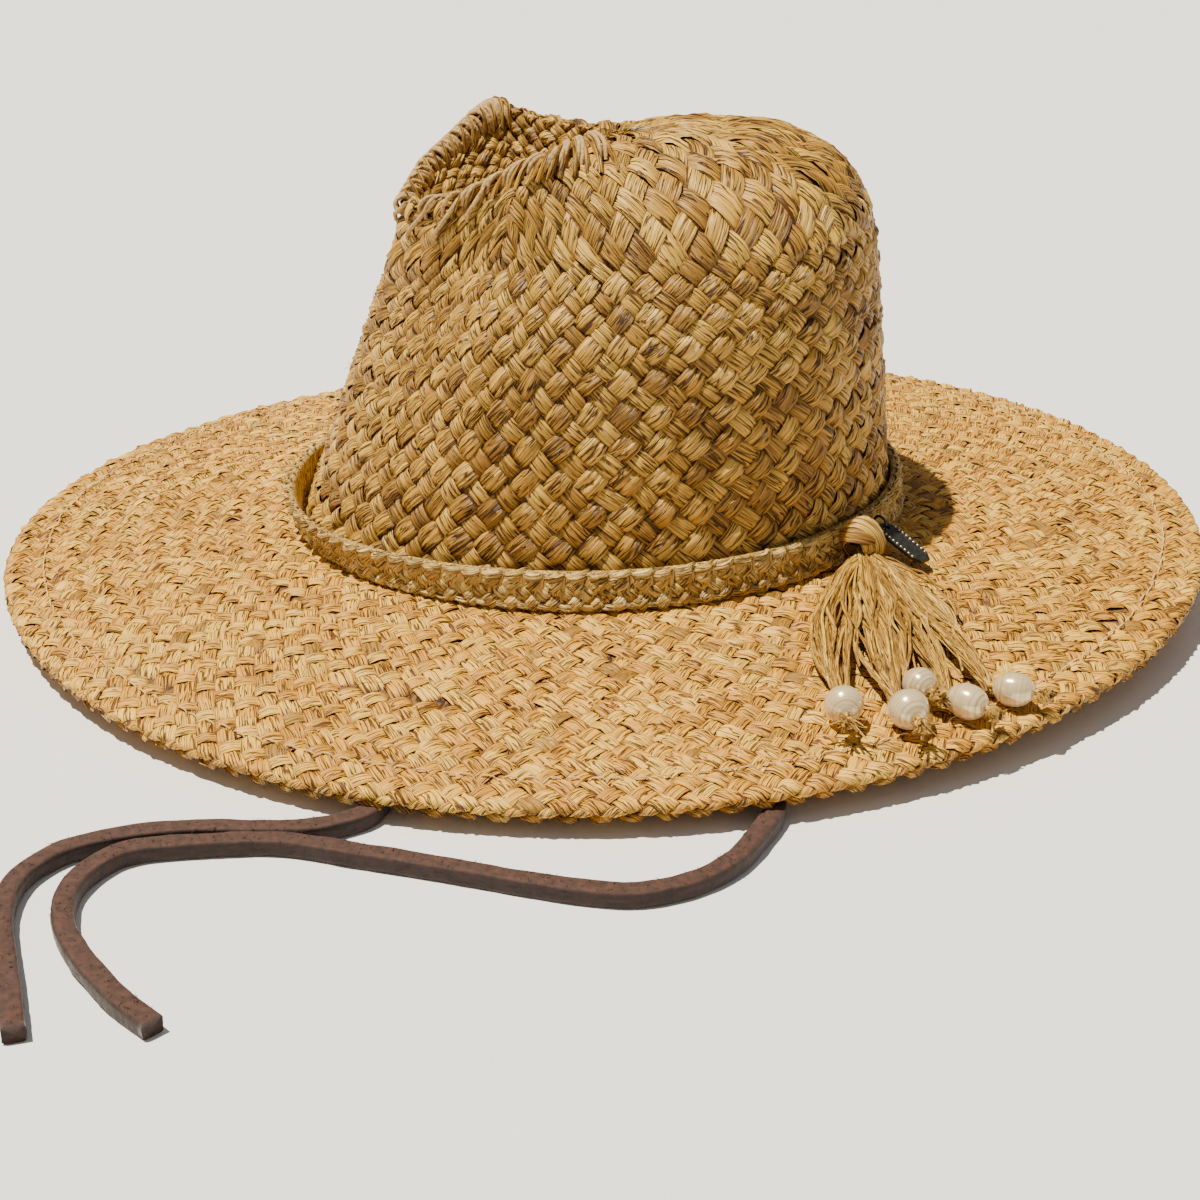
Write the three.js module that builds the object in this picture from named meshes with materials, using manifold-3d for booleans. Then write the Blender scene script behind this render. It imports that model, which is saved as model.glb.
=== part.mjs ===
// Raffia sun hat with a plaited band, a tassel with pearls, a metal tag and two leather chin laces.
// Millimetres, +Z up. The front of the crown points to -Y and the wearer's left is +X.
import * as THREE from 'three';
import { mergeVertices } from 'three/addons/utils/BufferGeometryUtils.js';
import Module from 'manifold-3d';

const wasm = await Module();
wasm.setup();

// Named sizes
const GAP = 0.3;
const STRAW = 2.0;
const BRIM_LENGTH = 392;
const BRIM_WIDTH = 362;
const BRIM_DROP = 12;
const RIM_THICK = 3.4;
const CROWN_LENGTH = 192;
const CROWN_BACKSET = -3.4;
const CROWN_WIDTH = 166;
const CROWN_RISE = 125;
const CREASE_DEPTH = 31;
const DENT_DEPTH = 7;
const SHOULDER_SAG = 9;
const SEAT_MARGIN = 6;
const BAND_HEIGHT = 11.5;
const BAND_THICK = 2.4;
const BAND_FLARE = 4.5;
const KNOT_SIZE = 15;
const LOCK_ROOT = 4.2;
const LOCK_TIP = 2.4;
const PEARL_BORE = 2.4;
const PEARL_PITCH = 11.2;
const PEARL_INSET = 24.2;
const PEARL_BACK = 0.169;
const THREAD = 1.7;
const TAG_LENGTH = 20;
const TAG_WIDTH = 7;
const TAG_THICK = 1.1;
const RING_RADIUS = 2.6;
const RING_WIRE = 0.8;
const LACE_DIAMETER = 5.0;
const TAB_WIDTH = 16;
const TAB_HEIGHT = 18;
const TAB_REACH = 7;
const REST_TILT = THREE.MathUtils.degToRad(0.55);

// Crest of the crease from front to back, left half: angle in degrees, then shares of the crown's
// width, length and rise, then the wall's lean, roundness and bow, the share of the side dent, and
// the dome's extra height as a share of the rise.
const CREST = [
  { angle: -90, x: 0, y: -0.3359, z: 0.826, lean: 1.03, round: 3, bow: 1, dent: 0, rise: 0 },
  { angle: -74, x: 0.1355, y: -0.276, z: 0.876, lean: 0.93, round: 3.5, bow: 1, dent: 0.2, rise: 0 },
  { angle: -60, x: 0.179, y: -0.224, z: 0.92, lean: 0.83, round: 4, bow: 1, dent: 0.8, rise: 0 },
  { angle: -48, x: 0.2048, y: -0.1719, z: 0.968, lean: 0.66, round: 4.5, bow: 1, dent: 0.9, rise: 0 },
  { angle: -38, x: 0.2108, y: -0.138, z: 0.9896, lean: 0.5, round: 5, bow: 1, dent: 1, rise: 0 },
  { angle: -20, x: 0.1548, y: -0.0989, z: 0.9912, lean: 0.41, round: 5.4, bow: 1, dent: 0.6, rise: 0 },
  { angle: -2, x: 0.1006, y: -0.0562, z: 0.9896, lean: 0.31, round: 6, bow: 1, dent: 0.35, rise: 0.008 },
  { angle: 16, x: 0.0512, y: -0.0156, z: 0.9824, lean: 0.21, round: 7.6, bow: 1, dent: 0.1, rise: 0.012 },
  { angle: 36, x: 0.012, y: 0.0163, z: 0.9755, lean: 0.12, round: 9.6, bow: 1, dent: 0, rise: 0.022 },
  { angle: 60, x: 0.006, y: 0.0245, z: 0.976, lean: 0.12, round: 12.5, bow: 1, dent: 0, rise: 0.026 },
  { angle: 90, x: 0, y: 0.0286, z: 0.976, lean: 0.14, round: 15, bow: 1, dent: 0, rise: 0.028 },
];
const CREASE_FOOT = { x: 0, y: -0.125 };

// Pearls on the brim: offsets from the fourth pearl in pitches, then axis, length and width.
const PEARLS = [
  { name: 'pearl_1', x: -0.245, y: -3.15, turn: -12, length: 10.5, width: 11.0 },
  { name: 'pearl_2', x: 0.21, y: -1.645, turn: 8, length: 11.5, width: 11.5 },
  { name: 'pearl_3', x: -0.91, y: -0.945, turn: 20, length: 10.0, width: 9.6 },
  { name: 'pearl_4', x: 0, y: 0, turn: 35, length: 12.5, width: 10.2 },
  { name: 'pearl_5', x: -0.35, y: 1.365, turn: 58, length: 12.0, width: 9.8 },
];

// Laces on the surface: places as shares of the brim's length, after they leave the hat.
const LEFT_ROUTE = [
  [0.2, 0.03], [0.25, 0.03], [0.3, 0.028], [0.35, 0.026], [0.4, 0.022], [0.4526, 0.0147],
  [0.4856, -0.008], [0.5135, -0.0335], [0.5299, -0.0637], [0.5353, -0.0982], [0.5296, -0.1232],
  [0.5056, -0.1708], [0.4775, -0.2184], [0.4502, -0.2673], [0.4235, -0.3172], [0.413, -0.3691],
  [0.4114, -0.4212], [0.4245, -0.4409], [0.4412, -0.4539], [0.4668, -0.4624], [0.4955, -0.4627],
  [0.5251, -0.4553], [0.5546, -0.444], [0.5837, -0.4302], [0.6106, -0.4139],
];
const RIGHT_ROUTE = [
  [-0.19, -0.02], [-0.12, -0.05], [-0.02, -0.095], [0.08, -0.135], [0.18, -0.172], [0.28, -0.207],
  [0.35, -0.236], [0.3964, -0.2569], [0.407, -0.279], [0.4085, -0.3036], [0.4025, -0.3363],
  [0.394, -0.3686], [0.391, -0.4013], [0.393, -0.4341], [0.402, -0.463], [0.4235, -0.487],
  [0.452, -0.4985], [0.482, -0.5015], [0.5098, -0.5], [0.5531, -0.4967], [0.5994, -0.4934],
];

const rad = THREE.MathUtils.degToRad;

function material(colour, roughness, metalness) {
  return new THREE.MeshStandardMaterial({ color: colour, roughness, metalness });
}

// The crest at an angle round the crown, mirrored for the right half.
function crestAt(theta) {
  const turn = Math.atan2(Math.sin(theta), Math.cos(theta)) / rad(1);
  const left = Math.abs(turn) <= 90;
  let fold = turn;
  if (!left) {
    fold = turn > 0 ? 180 - turn : -180 - turn;
  }
  let i = 0;
  while (i < CREST.length - 2 && fold > CREST[i + 1].angle) {
    i += 1;
  }
  const a = CREST[i];
  const b = CREST[i + 1];
  const s = Math.min(1, Math.max(0, (fold - a.angle) / (b.angle - a.angle)));
  const mix = (key) => a[key] + (b[key] - a[key]) * s;
  return {
    x: mix('x') * CROWN_WIDTH * (left ? 1 : -1),
    y: mix('y') * CROWN_LENGTH,
    z: BRIM_DROP + mix('z') * CROWN_RISE,
    lean: mix('lean'),
    round: mix('round'),
    bow: mix('bow'),
    dent: mix('dent') * DENT_DEPTH,
    rise: mix('rise') * CROWN_RISE,
  };
}

function crownBase(theta, grow) {
  return {
    x: (CROWN_WIDTH / 2 + grow) * Math.cos(theta),
    y: CROWN_BACKSET + (CROWN_LENGTH / 2 + grow) * Math.sin(theta),
  };
}

// How far the right shoulder of the top sags behind the crease.
function shoulderSag(x, y, h) {
  const side = THREE.MathUtils.smoothstep(-x, 0, 0.27 * CROWN_WIDTH);
  const begin = THREE.MathUtils.clamp(y / CROWN_LENGTH / 0.13 + 1, 0, 1);
  const end = 1 - 0.5 * THREE.MathUtils.clamp((y / CROWN_LENGTH - 0.156) / 0.26, 0, 1);
  return SHOULDER_SAG * side * begin * end * h ** 3;
}

// Wall of the crown, h from 0 at the brim to 1 at the crest.
function crownWall(theta, h) {
  const c = crestAt(theta);
  const b = crownBase(theta, 0);
  const dome = 1 - Math.sqrt(Math.max(0, 1 - h ** c.round));
  const g = c.lean * h ** c.bow + (1 - c.lean) * dome;
  const x = b.x + (c.x - b.x) * g;
  const y = b.y + (c.y - b.y) * g;
  const r = Math.hypot(x, y) + 1e-9;
  const dent = c.dent * Math.exp(-(((h - 0.8) / 0.13) ** 2));
  const z = BRIM_DROP + (c.z - BRIM_DROP) * h + c.rise * Math.sin(Math.PI * Math.min(1, Math.max(0, g)));
  return new THREE.Vector3(x - (dent * x) / r, y - (dent * y) / r, z - shoulderSag(x, y, h));
}

// Crease between the two crests, s from 0 at the crest to 1 at its foot.
function crownCrease(theta, s) {
  const c = crestAt(theta);
  const floor = BRIM_DROP + CROWN_RISE - CREASE_DEPTH;
  const fall = 1 - (1 - s) ** 2.4;
  const x = c.x + (CREASE_FOOT.x * CROWN_WIDTH - c.x) * s;
  const y = c.y + (CREASE_FOOT.y * CROWN_LENGTH - c.y) * s;
  return new THREE.Vector3(x, y, c.z + (floor - c.z) * fall - shoulderSag(x, y, 1));
}

function crownSkin(theta, v) {
  return v <= 1 ? crownWall(theta, v) : crownCrease(theta, v - 1);
}

// Rim line of the brim: the ends stand higher than the sides.
function rimAt(theta) {
  const k = 1 - 0.006 * Math.cos(theta) - 0.003 * Math.sin(theta) - 0.004 * Math.sin(4 * theta);
  const z = 1.4 * Math.cos(theta) + 2.5 * Math.sin(theta) - 2.7 * Math.cos(2 * theta)
    + 0.3 * Math.sin(2 * theta) + 0.36 * Math.sin(3 * theta);
  return new THREE.Vector3(
    (BRIM_WIDTH / 2) * Math.cos(theta) * k, (BRIM_LENGTH / 2) * Math.sin(theta) * k, z);
}

// Top face of the brim, t from 0 under the crown's foot to 1 at the rim.
function brimTop(theta, t) {
  const b = crownBase(theta, 0);
  const r = rimAt(theta);
  const z = BRIM_DROP + (r.z - BRIM_DROP) * Math.sign(t) * Math.abs(t) ** 1.3;
  return new THREE.Vector3(b.x + (r.x - b.x) * t, b.y + (r.y - b.y) * t, z);
}

// Height of the brim's top face under a point of the plan.
function brimHeight(x, y) {
  const theta = Math.atan2(y / CROWN_LENGTH, x / CROWN_WIDTH);
  let best = null;
  for (let i = -60; i <= 60; i += 1) {
    const a = theta + rad(i * 0.25);
    const b = crownBase(a, 0);
    const r = rimAt(a);
    const t = ((x - b.x) * (r.x - b.x) + (y - b.y) * (r.y - b.y)) / ((r.x - b.x) ** 2 + (r.y - b.y) ** 2);
    const p = brimTop(a, Math.max(0, t));
    const miss = Math.hypot(p.x - x, p.y - y);
    if (best === null || miss < best.miss) {
      best = { miss, z: p.z };
    }
  }
  return best.z;
}

// Closed mesh from rings of equal length; ends joined to a point where a pole is given.
function ringMesh(rings, closed, startPole, endPole) {
  const n = rings[0].length;
  const pos = [];
  const idx = [];
  rings.forEach((ring) => ring.forEach((p) => pos.push(p.x, p.y, p.z)));
  const last = closed ? rings.length : rings.length - 1;
  for (let i = 0; i < last; i += 1) {
    const a = i * n;
    const b = ((i + 1) % rings.length) * n;
    for (let j = 0; j < n; j += 1) {
      const k = (j + 1) % n;
      idx.push(a + j, a + k, b + k);
      idx.push(a + j, b + k, b + j);
    }
  }
  if (startPole) {
    const s = pos.length / 3;
    pos.push(startPole.x, startPole.y, startPole.z);
    for (let j = 0; j < n; j += 1) {
      idx.push(s, (j + 1) % n, j);
    }
  }
  if (endPole) {
    const s = pos.length / 3;
    const a = (rings.length - 1) * n;
    pos.push(endPole.x, endPole.y, endPole.z);
    for (let j = 0; j < n; j += 1) {
      idx.push(s, a + j, a + ((j + 1) % n));
    }
  }
  const g = new THREE.BufferGeometry();
  g.setAttribute('position', new THREE.Float32BufferAttribute(pos, 3));
  g.setIndex(idx);
  return g;
}

function ring(count, at) {
  const out = [];
  for (let j = 0; j < count; j += 1) {
    out.push(at((2 * Math.PI * j) / count));
  }
  return out;
}

// Volume of a closed mesh, to turn an inside-out one round.
function facingOut(geometry) {
  const p = geometry.getAttribute('position');
  const i = geometry.getIndex();
  const a = new THREE.Vector3();
  const b = new THREE.Vector3();
  const c = new THREE.Vector3();
  let volume = 0;
  for (let k = 0; k < i.count; k += 3) {
    a.fromBufferAttribute(p, i.getX(k));
    b.fromBufferAttribute(p, i.getX(k + 1));
    c.fromBufferAttribute(p, i.getX(k + 2));
    volume += a.dot(b.clone().cross(c));
  }
  if (volume < 0) {
    const order = Array.from(i.array);
    for (let k = 0; k < order.length; k += 3) {
      const swap = order[k + 1];
      order[k + 1] = order[k + 2];
      order[k + 2] = swap;
    }
    geometry.setIndex(order);
  }
  return geometry;
}

function toSolid(geometry) {
  let g = geometry.clone();
  g.deleteAttribute('normal');
  g.deleteAttribute('uv');
  g = facingOut(mergeVertices(g, 1e-4));
  return new wasm.Manifold(new wasm.Mesh({
    numProp: 3,
    vertProperties: new Float32Array(g.getAttribute('position').array),
    triVerts: new Uint32Array(g.getIndex().array),
  }));
}

function fromSolid(solid) {
  const m = solid.getMesh();
  const g = new THREE.BufferGeometry();
  g.setAttribute('position', new THREE.Float32BufferAttribute(Array.from(m.vertProperties), 3));
  g.setIndex(Array.from(m.triVerts));
  return g;
}

function joined(geometries) {
  return fromSolid(geometries.map(toSolid).reduce((a, b) => a.add(b)));
}

function cut(geometry, tool) {
  return fromSolid(toSolid(geometry).subtract(toSolid(tool)));
}

const hat = new THREE.Group();
hat.name = 'raffia_sun_hat';

function addPiece(name, geometry, mat) {
  const g = geometry.getIndex() ? geometry : mergeVertices(geometry, 1e-4);
  const mesh = new THREE.Mesh(g, mat);
  mesh.name = name;
  hat.add(mesh);
  return mesh;
}

const crownStraw = material(0xc59a63, 0.78, 0);
const brimStraw = material(0xd6ab76, 0.78, 0);
const bandStraw = material(0xd2b07d, 0.75, 0);
const tasselStraw = material(0xcfa871, 0.7, 0);
const knotStraw = material(0xc9a06a, 0.75, 0);
const pearlShell = material(0xefe9df, 0.22, 0);
const bronze = material(0x5a4a38, 0.42, 0.85);
const leather = material(0x6b4631, 0.72, 0);

// Crown
const CROWN_SIDES = 64;
const WALL_STEPS = [0, 0.16, 0.34, 0.5, 0.62, 0.72, 0.8, 0.87, 0.925, 0.97, 1];
const CREASE_STEPS = [0.14, 0.3, 0.5, 0.75];
function skinNormal(theta, v) {
  const dt = 0.01;
  const dv = 0.012;
  const pole = 1.97;
  const u = Math.min(v, pole);
  const a = crownSkin(theta + dt, u).sub(crownSkin(theta - dt, u));
  const b = crownSkin(theta, Math.min(u + dv, pole + dv)).sub(crownSkin(theta, Math.max(u - dv, 0)));
  return a.cross(b).normalize();
}
function crownGeometry() {
  const levels = WALL_STEPS.concat(CREASE_STEPS.map((s) => 1 + s));
  const outer = levels.map((v) => ring(CROWN_SIDES, (a) => crownSkin(a, v)));
  const inner = levels.map((v) => ring(CROWN_SIDES, (a) => {
    const n = skinNormal(a, v);
    if (v === 0) {
      n.z = 0;
      n.normalize();
    }
    return crownSkin(a, v).addScaledVector(n, -STRAW);
  }));
  outer.forEach((row) => row.forEach((p) => { p.z += GAP; }));
  inner.forEach((row) => row.forEach((p) => { p.z += GAP; }));
  const foot = crownCrease(0, 1);
  const top = new THREE.Vector3(foot.x, foot.y, foot.z + GAP);
  const under = new THREE.Vector3(foot.x, foot.y, foot.z + GAP - STRAW);
  const rows = inner.slice().reverse().concat(outer);
  return facingOut(ringMesh(rows, false, under, top));
}
addPiece('crown', crownGeometry(), crownStraw);

// Brim
const BRIM_SIDES = 80;
function brimGeometry() {
  const seat = -SEAT_MARGIN / ((BRIM_WIDTH - CROWN_WIDTH) / 2);
  const steps = [seat, 0.16, 0.42, 0.7, 0.93];
  const top = steps.map((t) => ring(BRIM_SIDES, (a) => brimTop(a, t)));
  const under = steps.slice().reverse().map((t) => ring(BRIM_SIDES, (a) => {
    const p = brimTop(a, t);
    p.z -= STRAW;
    return p;
  }));
  const lip = [0.985, 1, 0.985];
  const lift = [(RIM_THICK - STRAW) / 2, -STRAW / 2, -(RIM_THICK + STRAW) / 2];
  const edge = lip.map((t, i) => ring(BRIM_SIDES, (a) => {
    const p = brimTop(a, t);
    p.z += lift[i];
    return p;
  }));
  return facingOut(ringMesh(top.concat(edge, under), true));
}
addPiece('brim', brimGeometry(), brimStraw);

// Plaited band round the crown's foot, standing off at the front left
function bandFace(theta, out, up) {
  const flare = Math.exp(-(((Math.atan2(Math.sin(theta + rad(75)), Math.cos(theta + rad(75)))) / rad(32)) ** 2));
  const grow = GAP + 0.6 + out + flare * BAND_FLARE * up / BAND_HEIGHT;
  const p = crownBase(theta, grow);
  return new THREE.Vector3(p.x, p.y, BRIM_DROP + GAP + up);
}
function bandGeometry() {
  const section = [
    [0, 0.6], [0, BAND_HEIGHT - 1], [0.5, BAND_HEIGHT + 0.5], [BAND_THICK + 0.5, BAND_HEIGHT],
    [BAND_THICK + 0.6, BAND_HEIGHT - 2.6], [BAND_THICK, BAND_HEIGHT - 3.4], [BAND_THICK, 0.4],
  ];
  const rows = section.map(([out, up]) => ring(CROWN_SIDES, (a) => bandFace(a, out, up)));
  return facingOut(ringMesh(rows, true));
}
addPiece('hatband', bandGeometry(), bandStraw);

// Knot that ends the band
const KNOT_ANGLE = Math.atan2(66 / CROWN_LENGTH, 69 / CROWN_WIDTH);
const knotOut = crownBase(KNOT_ANGLE, GAP * 2 + 0.6 + BAND_THICK + 0.6 + KNOT_SIZE * 0.36);
const knotCentre = new THREE.Vector3(knotOut.x, knotOut.y, BRIM_DROP + KNOT_SIZE * 0.6);
function lump(centre, size, turn, count) {
  const g = new THREE.SphereGeometry(0.5, count, Math.round(count * 0.6));
  g.scale(size.x, size.y, size.z);
  g.rotateZ(turn);
  g.translate(centre.x, centre.y, centre.z);
  return g;
}
addPiece('band_knot', lump(
  knotCentre, new THREE.Vector3(KNOT_SIZE * 0.66, KNOT_SIZE * 0.9, KNOT_SIZE), KNOT_ANGLE, 12), knotStraw);

// Tassel: five locks from a head on the knot to the pearls
function capsule(points, radii, sides) {
  const rows = points.map((p, i) => {
    const before = points[Math.max(0, i - 1)];
    const after = points[Math.min(points.length - 1, i + 1)];
    const along = after.clone().sub(before).normalize();
    const across = new THREE.Vector3(0, 0, 1).cross(along).normalize();
    const up = along.clone().cross(across);
    return ring(sides, (a) => p.clone()
      .addScaledVector(across, radii[i].wide * Math.cos(a))
      .addScaledVector(up, radii[i].high * Math.sin(a)));
  });
  return facingOut(ringMesh(rows, false, points[0], points[points.length - 1]));
}
const headOut = crownBase(KNOT_ANGLE - 0.02, GAP * 3 + BAND_THICK + KNOT_SIZE * 0.86 + 4.6);
const head = new THREE.Vector3(headOut.x, headOut.y, brimHeight(headOut.x, headOut.y) + 5.6);
const locks = [lump(head, new THREE.Vector3(8, 9, 9), KNOT_ANGLE, 12)];
const pearlSeats = PEARLS.map((pearl) => {
  const x = BRIM_WIDTH / 2 - PEARL_INSET + pearl.x * PEARL_PITCH;
  const y = PEARL_BACK * BRIM_LENGTH + pearl.y * PEARL_PITCH;
  const z = brimHeight(x, y) + pearl.width / 2 + GAP + 0.4;
  const axis = new THREE.Vector3(Math.cos(rad(pearl.turn)), Math.sin(rad(pearl.turn)), 0);
  return { ...pearl, centre: new THREE.Vector3(x, y, z), axis };
});
pearlSeats.forEach((pearl) => {
  const end = pearl.centre.clone().addScaledVector(pearl.axis, -pearl.length / 2 - GAP - 1.2);
  const span = head.distanceTo(end);
  const points = [];
  const radii = [];
  const steps = 6;
  for (let i = 0; i <= steps; i += 1) {
    const s = i / steps;
    const p = head.clone().lerp(end, s);
    const bend = Math.sin(Math.PI * s) * span * 0.05;
    p.addScaledVector(pearl.axis.clone().cross(new THREE.Vector3(0, 0, 1)), bend * (pearl.y >= 0 ? -1 : 1));
    const high = THREE.MathUtils.lerp(LOCK_ROOT, THREAD / 2, s ** 0.8) * 0.8;
    p.z = Math.max(p.z, brimHeight(p.x, p.y) + high + GAP * 2);
    points.push(p);
    radii.push({ wide: i === steps ? THREAD / 2 : LOCK_TIP + (LOCK_ROOT - LOCK_TIP) * Math.sin(Math.PI * s), high });
  }
  locks.push(capsule(points, radii, 8));
});
addPiece('tassel', joined(locks), tasselStraw);

// Pearls, drilled, each with the raffia end and knot that holds it
const zAxis = new THREE.Vector3(0, 0, 1);
pearlSeats.forEach((pearl, n) => {
  const profile = [];
  const bore = PEARL_BORE / 2;
  const a = pearl.length / 2;
  const b = pearl.width / 2;
  const open = a * Math.sqrt(1 - (bore / b) ** 2);
  profile.push(new THREE.Vector2(bore, -open));
  const from = -Math.asin(open / a);
  for (let i = 1; i < 8; i += 1) {
    const t = from + (-2 * from * i) / 8;
    profile.push(new THREE.Vector2(b * Math.cos(t), a * Math.sin(t)));
  }
  profile.push(new THREE.Vector2(bore, open));
  profile.push(new THREE.Vector2(bore, -open));
  const shell = new THREE.LatheGeometry(profile, 12);
  shell.rotateX(Math.PI / 2);
  const spin = new THREE.Quaternion().setFromUnitVectors(zAxis, pearl.axis);
  shell.applyQuaternion(spin);
  shell.translate(pearl.centre.x, pearl.centre.y, pearl.centre.z);
  shell.deleteAttribute('normal');
  shell.deleteAttribute('uv');
  addPiece(pearl.name, facingOut(mergeVertices(shell, 1e-4)), pearlShell);
  const stem = new THREE.CylinderGeometry(THREAD / 2, THREAD / 2, pearl.length + 3, 8);
  stem.rotateX(Math.PI / 2);
  stem.applyQuaternion(spin);
  const mid = pearl.centre.clone().addScaledVector(pearl.axis, 1.5 + GAP);
  stem.translate(mid.x, mid.y, mid.z);
  const knotAt = pearl.centre.clone().addScaledVector(pearl.axis, pearl.length / 2 + GAP + 2.3);
  const size = 4.6;
  knotAt.z = Math.max(pearl.centre.z - 1, brimHeight(knotAt.x, knotAt.y) + size / 2 + GAP * 2);
  const knot = lump(knotAt, new THREE.Vector3(size, size, size), 0, 8);
  addPiece(`end_knot_${n + 1}`, joined([stem, knot]), knotStraw);
});

// Metal tag on a small ring beside the knot
const tagAngle = KNOT_ANGLE + 0.14;
const ringSpot = crownBase(tagAngle, GAP * 2 + 1.2 + BAND_THICK + RING_RADIUS + RING_WIRE / 2 + 0.3);
const ringCentre = new THREE.Vector3(ringSpot.x, ringSpot.y, BRIM_DROP + 9);
const outward = new THREE.Vector3(Math.cos(rad(28)), Math.sin(rad(28)), 0);
const sideways = new THREE.Vector3(-outward.y, outward.x, 0);
const ringSolid = new THREE.TorusGeometry(RING_RADIUS, RING_WIRE / 2, 6, 16);
const slope = Math.asin(0.3);
function tagPlate() {
  const outline = new THREE.Shape();
  const w = TAG_WIDTH / 2;
  outline.moveTo(-w * 0.55, 0);
  outline.lineTo(w * 0.55, 0);
  outline.lineTo(w, TAG_LENGTH * 0.16);
  outline.lineTo(w, TAG_LENGTH * 0.84);
  outline.lineTo(w * 0.5, TAG_LENGTH);
  outline.lineTo(-w * 0.5, TAG_LENGTH);
  outline.lineTo(-w, TAG_LENGTH * 0.84);
  outline.lineTo(-w, TAG_LENGTH * 0.16);
  outline.closePath();
  const hole = new THREE.Path();
  hole.absarc(0, RING_RADIUS * 0.82, 1.2, 0, 2 * Math.PI, true);
  outline.holes.push(hole);
  const g = new THREE.ExtrudeGeometry(outline, {
    depth: TAG_THICK, bevelEnabled: false, curveSegments: 8,
  });
  g.translate(0, -RING_RADIUS * 0.82, -TAG_THICK / 2);
  return g;
}
const along = outward.clone().multiplyScalar(Math.cos(slope)).addScaledVector(zAxis, -Math.sin(slope));
const flat = sideways.clone();
const thick = flat.clone().cross(along);
const tagBase = ringCentre.clone().addScaledVector(along, RING_RADIUS);
const tagFrame = new THREE.Matrix4().makeBasis(flat, along, thick).setPosition(tagBase);
const plate = tagPlate();
plate.applyMatrix4(tagFrame);
addPiece('tag', plate, bronze);
const ringFrame = new THREE.Matrix4().makeBasis(along, thick, along.clone().cross(thick)).setPosition(ringCentre);
ringSolid.applyMatrix4(ringFrame);
addPiece('tag_ring', ringSolid, bronze);

// Plain leather tabs inside the crown that the laces leave from
function tabGeometry(side) {
  const theta = side > 0 ? 0 : Math.PI;
  const g = new THREE.BoxGeometry(TAB_REACH, TAB_WIDTH, TAB_HEIGHT);
  g.translate(0, 0, BRIM_DROP + 8 + TAB_HEIGHT / 2);
  const p = g.getAttribute('position');
  const rise = crestAt(theta).z - BRIM_DROP;
  for (let i = 0; i < p.count; i += 1) {
    const wall = crownWall(theta, (p.getZ(i) - BRIM_DROP) / rise);
    p.setX(i, p.getX(i) + wall.x - side * (STRAW + GAP + 0.5 + TAB_REACH / 2));
  }
  return g;
}
addPiece('lace_tab_left', tabGeometry(1), leather);
addPiece('lace_tab_right', tabGeometry(-1), leather);

// The hat lies tilted on the laces under its left side
hat.children.forEach((mesh) => mesh.geometry.rotateY(-REST_TILT));
const bounds = new THREE.Box3();
hat.children.forEach((mesh) => {
  mesh.geometry.computeBoundingBox();
  bounds.union(mesh.geometry.boundingBox);
});
const middle = bounds.getCenter(new THREE.Vector3());
const shift = new THREE.Vector3(-middle.x, -middle.y, -bounds.min.z);
hat.children.forEach((mesh) => mesh.geometry.translate(shift.x, shift.y, shift.z));

// Chin laces: down from the tab, then along the surface
function laceGeometry(side, route) {
  const tab = hat.getObjectByName(side > 0 ? 'lace_tab_left' : 'lace_tab_right');
  tab.geometry.computeBoundingBox();
  const box = tab.geometry.boundingBox;
  const start = box.getCenter(new THREE.Vector3());
  const low = LACE_DIAMETER / 2 + 0.05;
  const top = box.min.z - GAP;
  const points = [
    new THREE.Vector3(start.x, start.y, top),
    new THREE.Vector3(start.x, start.y, top - (top - low) * 0.45),
    new THREE.Vector3(start.x - side * 3, start.y, low + (top - low) * 0.16),
  ];
  route.forEach(([x, y]) => points.push(new THREE.Vector3(x * BRIM_LENGTH, y * BRIM_LENGTH, low)));
  const bend = new THREE.CatmullRomCurve3(points, false, 'centripetal').getSpacedPoints(90);
  bend.forEach((p) => { p.z = Math.max(p.z, low); });
  const curve = new THREE.CatmullRomCurve3(bend);
  const section = new THREE.Shape();
  for (let i = 0; i < 8; i += 1) {
    const a = (2 * Math.PI * i) / 8;
    section[i === 0 ? 'moveTo' : 'lineTo']((LACE_DIAMETER / 2) * Math.cos(a), (LACE_DIAMETER / 2) * Math.sin(a));
  }
  section.closePath();
  const steps = Math.min(54, Math.round(curve.getLength() / (1.8 * LACE_DIAMETER)));
  return new THREE.ExtrudeGeometry(section, { steps, extrudePath: curve, curveSegments: 1 });
}
addPiece('chin_lace_left', laceGeometry(1, LEFT_ROUTE), leather);
addPiece('chin_lace_right', laceGeometry(-1, RIGHT_ROUTE), leather);

export default hat;
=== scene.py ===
import math
import bpy
import numpy as np
from mathutils import Matrix, Vector


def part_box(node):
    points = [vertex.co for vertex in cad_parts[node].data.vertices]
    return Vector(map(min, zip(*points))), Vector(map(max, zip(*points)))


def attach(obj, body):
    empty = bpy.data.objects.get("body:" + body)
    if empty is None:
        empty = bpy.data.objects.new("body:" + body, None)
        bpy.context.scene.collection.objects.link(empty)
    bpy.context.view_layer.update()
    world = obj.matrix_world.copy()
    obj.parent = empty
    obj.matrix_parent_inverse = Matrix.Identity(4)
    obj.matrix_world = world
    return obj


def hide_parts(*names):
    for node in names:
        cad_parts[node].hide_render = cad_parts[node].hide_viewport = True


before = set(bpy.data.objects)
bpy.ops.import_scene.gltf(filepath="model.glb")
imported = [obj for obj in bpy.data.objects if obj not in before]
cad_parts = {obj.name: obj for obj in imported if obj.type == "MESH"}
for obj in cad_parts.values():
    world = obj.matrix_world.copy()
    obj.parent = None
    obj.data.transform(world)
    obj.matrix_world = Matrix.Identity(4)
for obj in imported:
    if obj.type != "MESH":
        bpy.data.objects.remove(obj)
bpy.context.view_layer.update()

# Sizes in millimetres, in the hat's own frame
BRIM_LENGTH, BRIM_WIDTH, BRIM_DROP = 392.0, 362.0, 12.0
CROWN_LENGTH, CROWN_WIDTH, CROWN_RISE, CROWN_BACKSET = 192.0, 166.0, 125.0, -3.4
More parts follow.
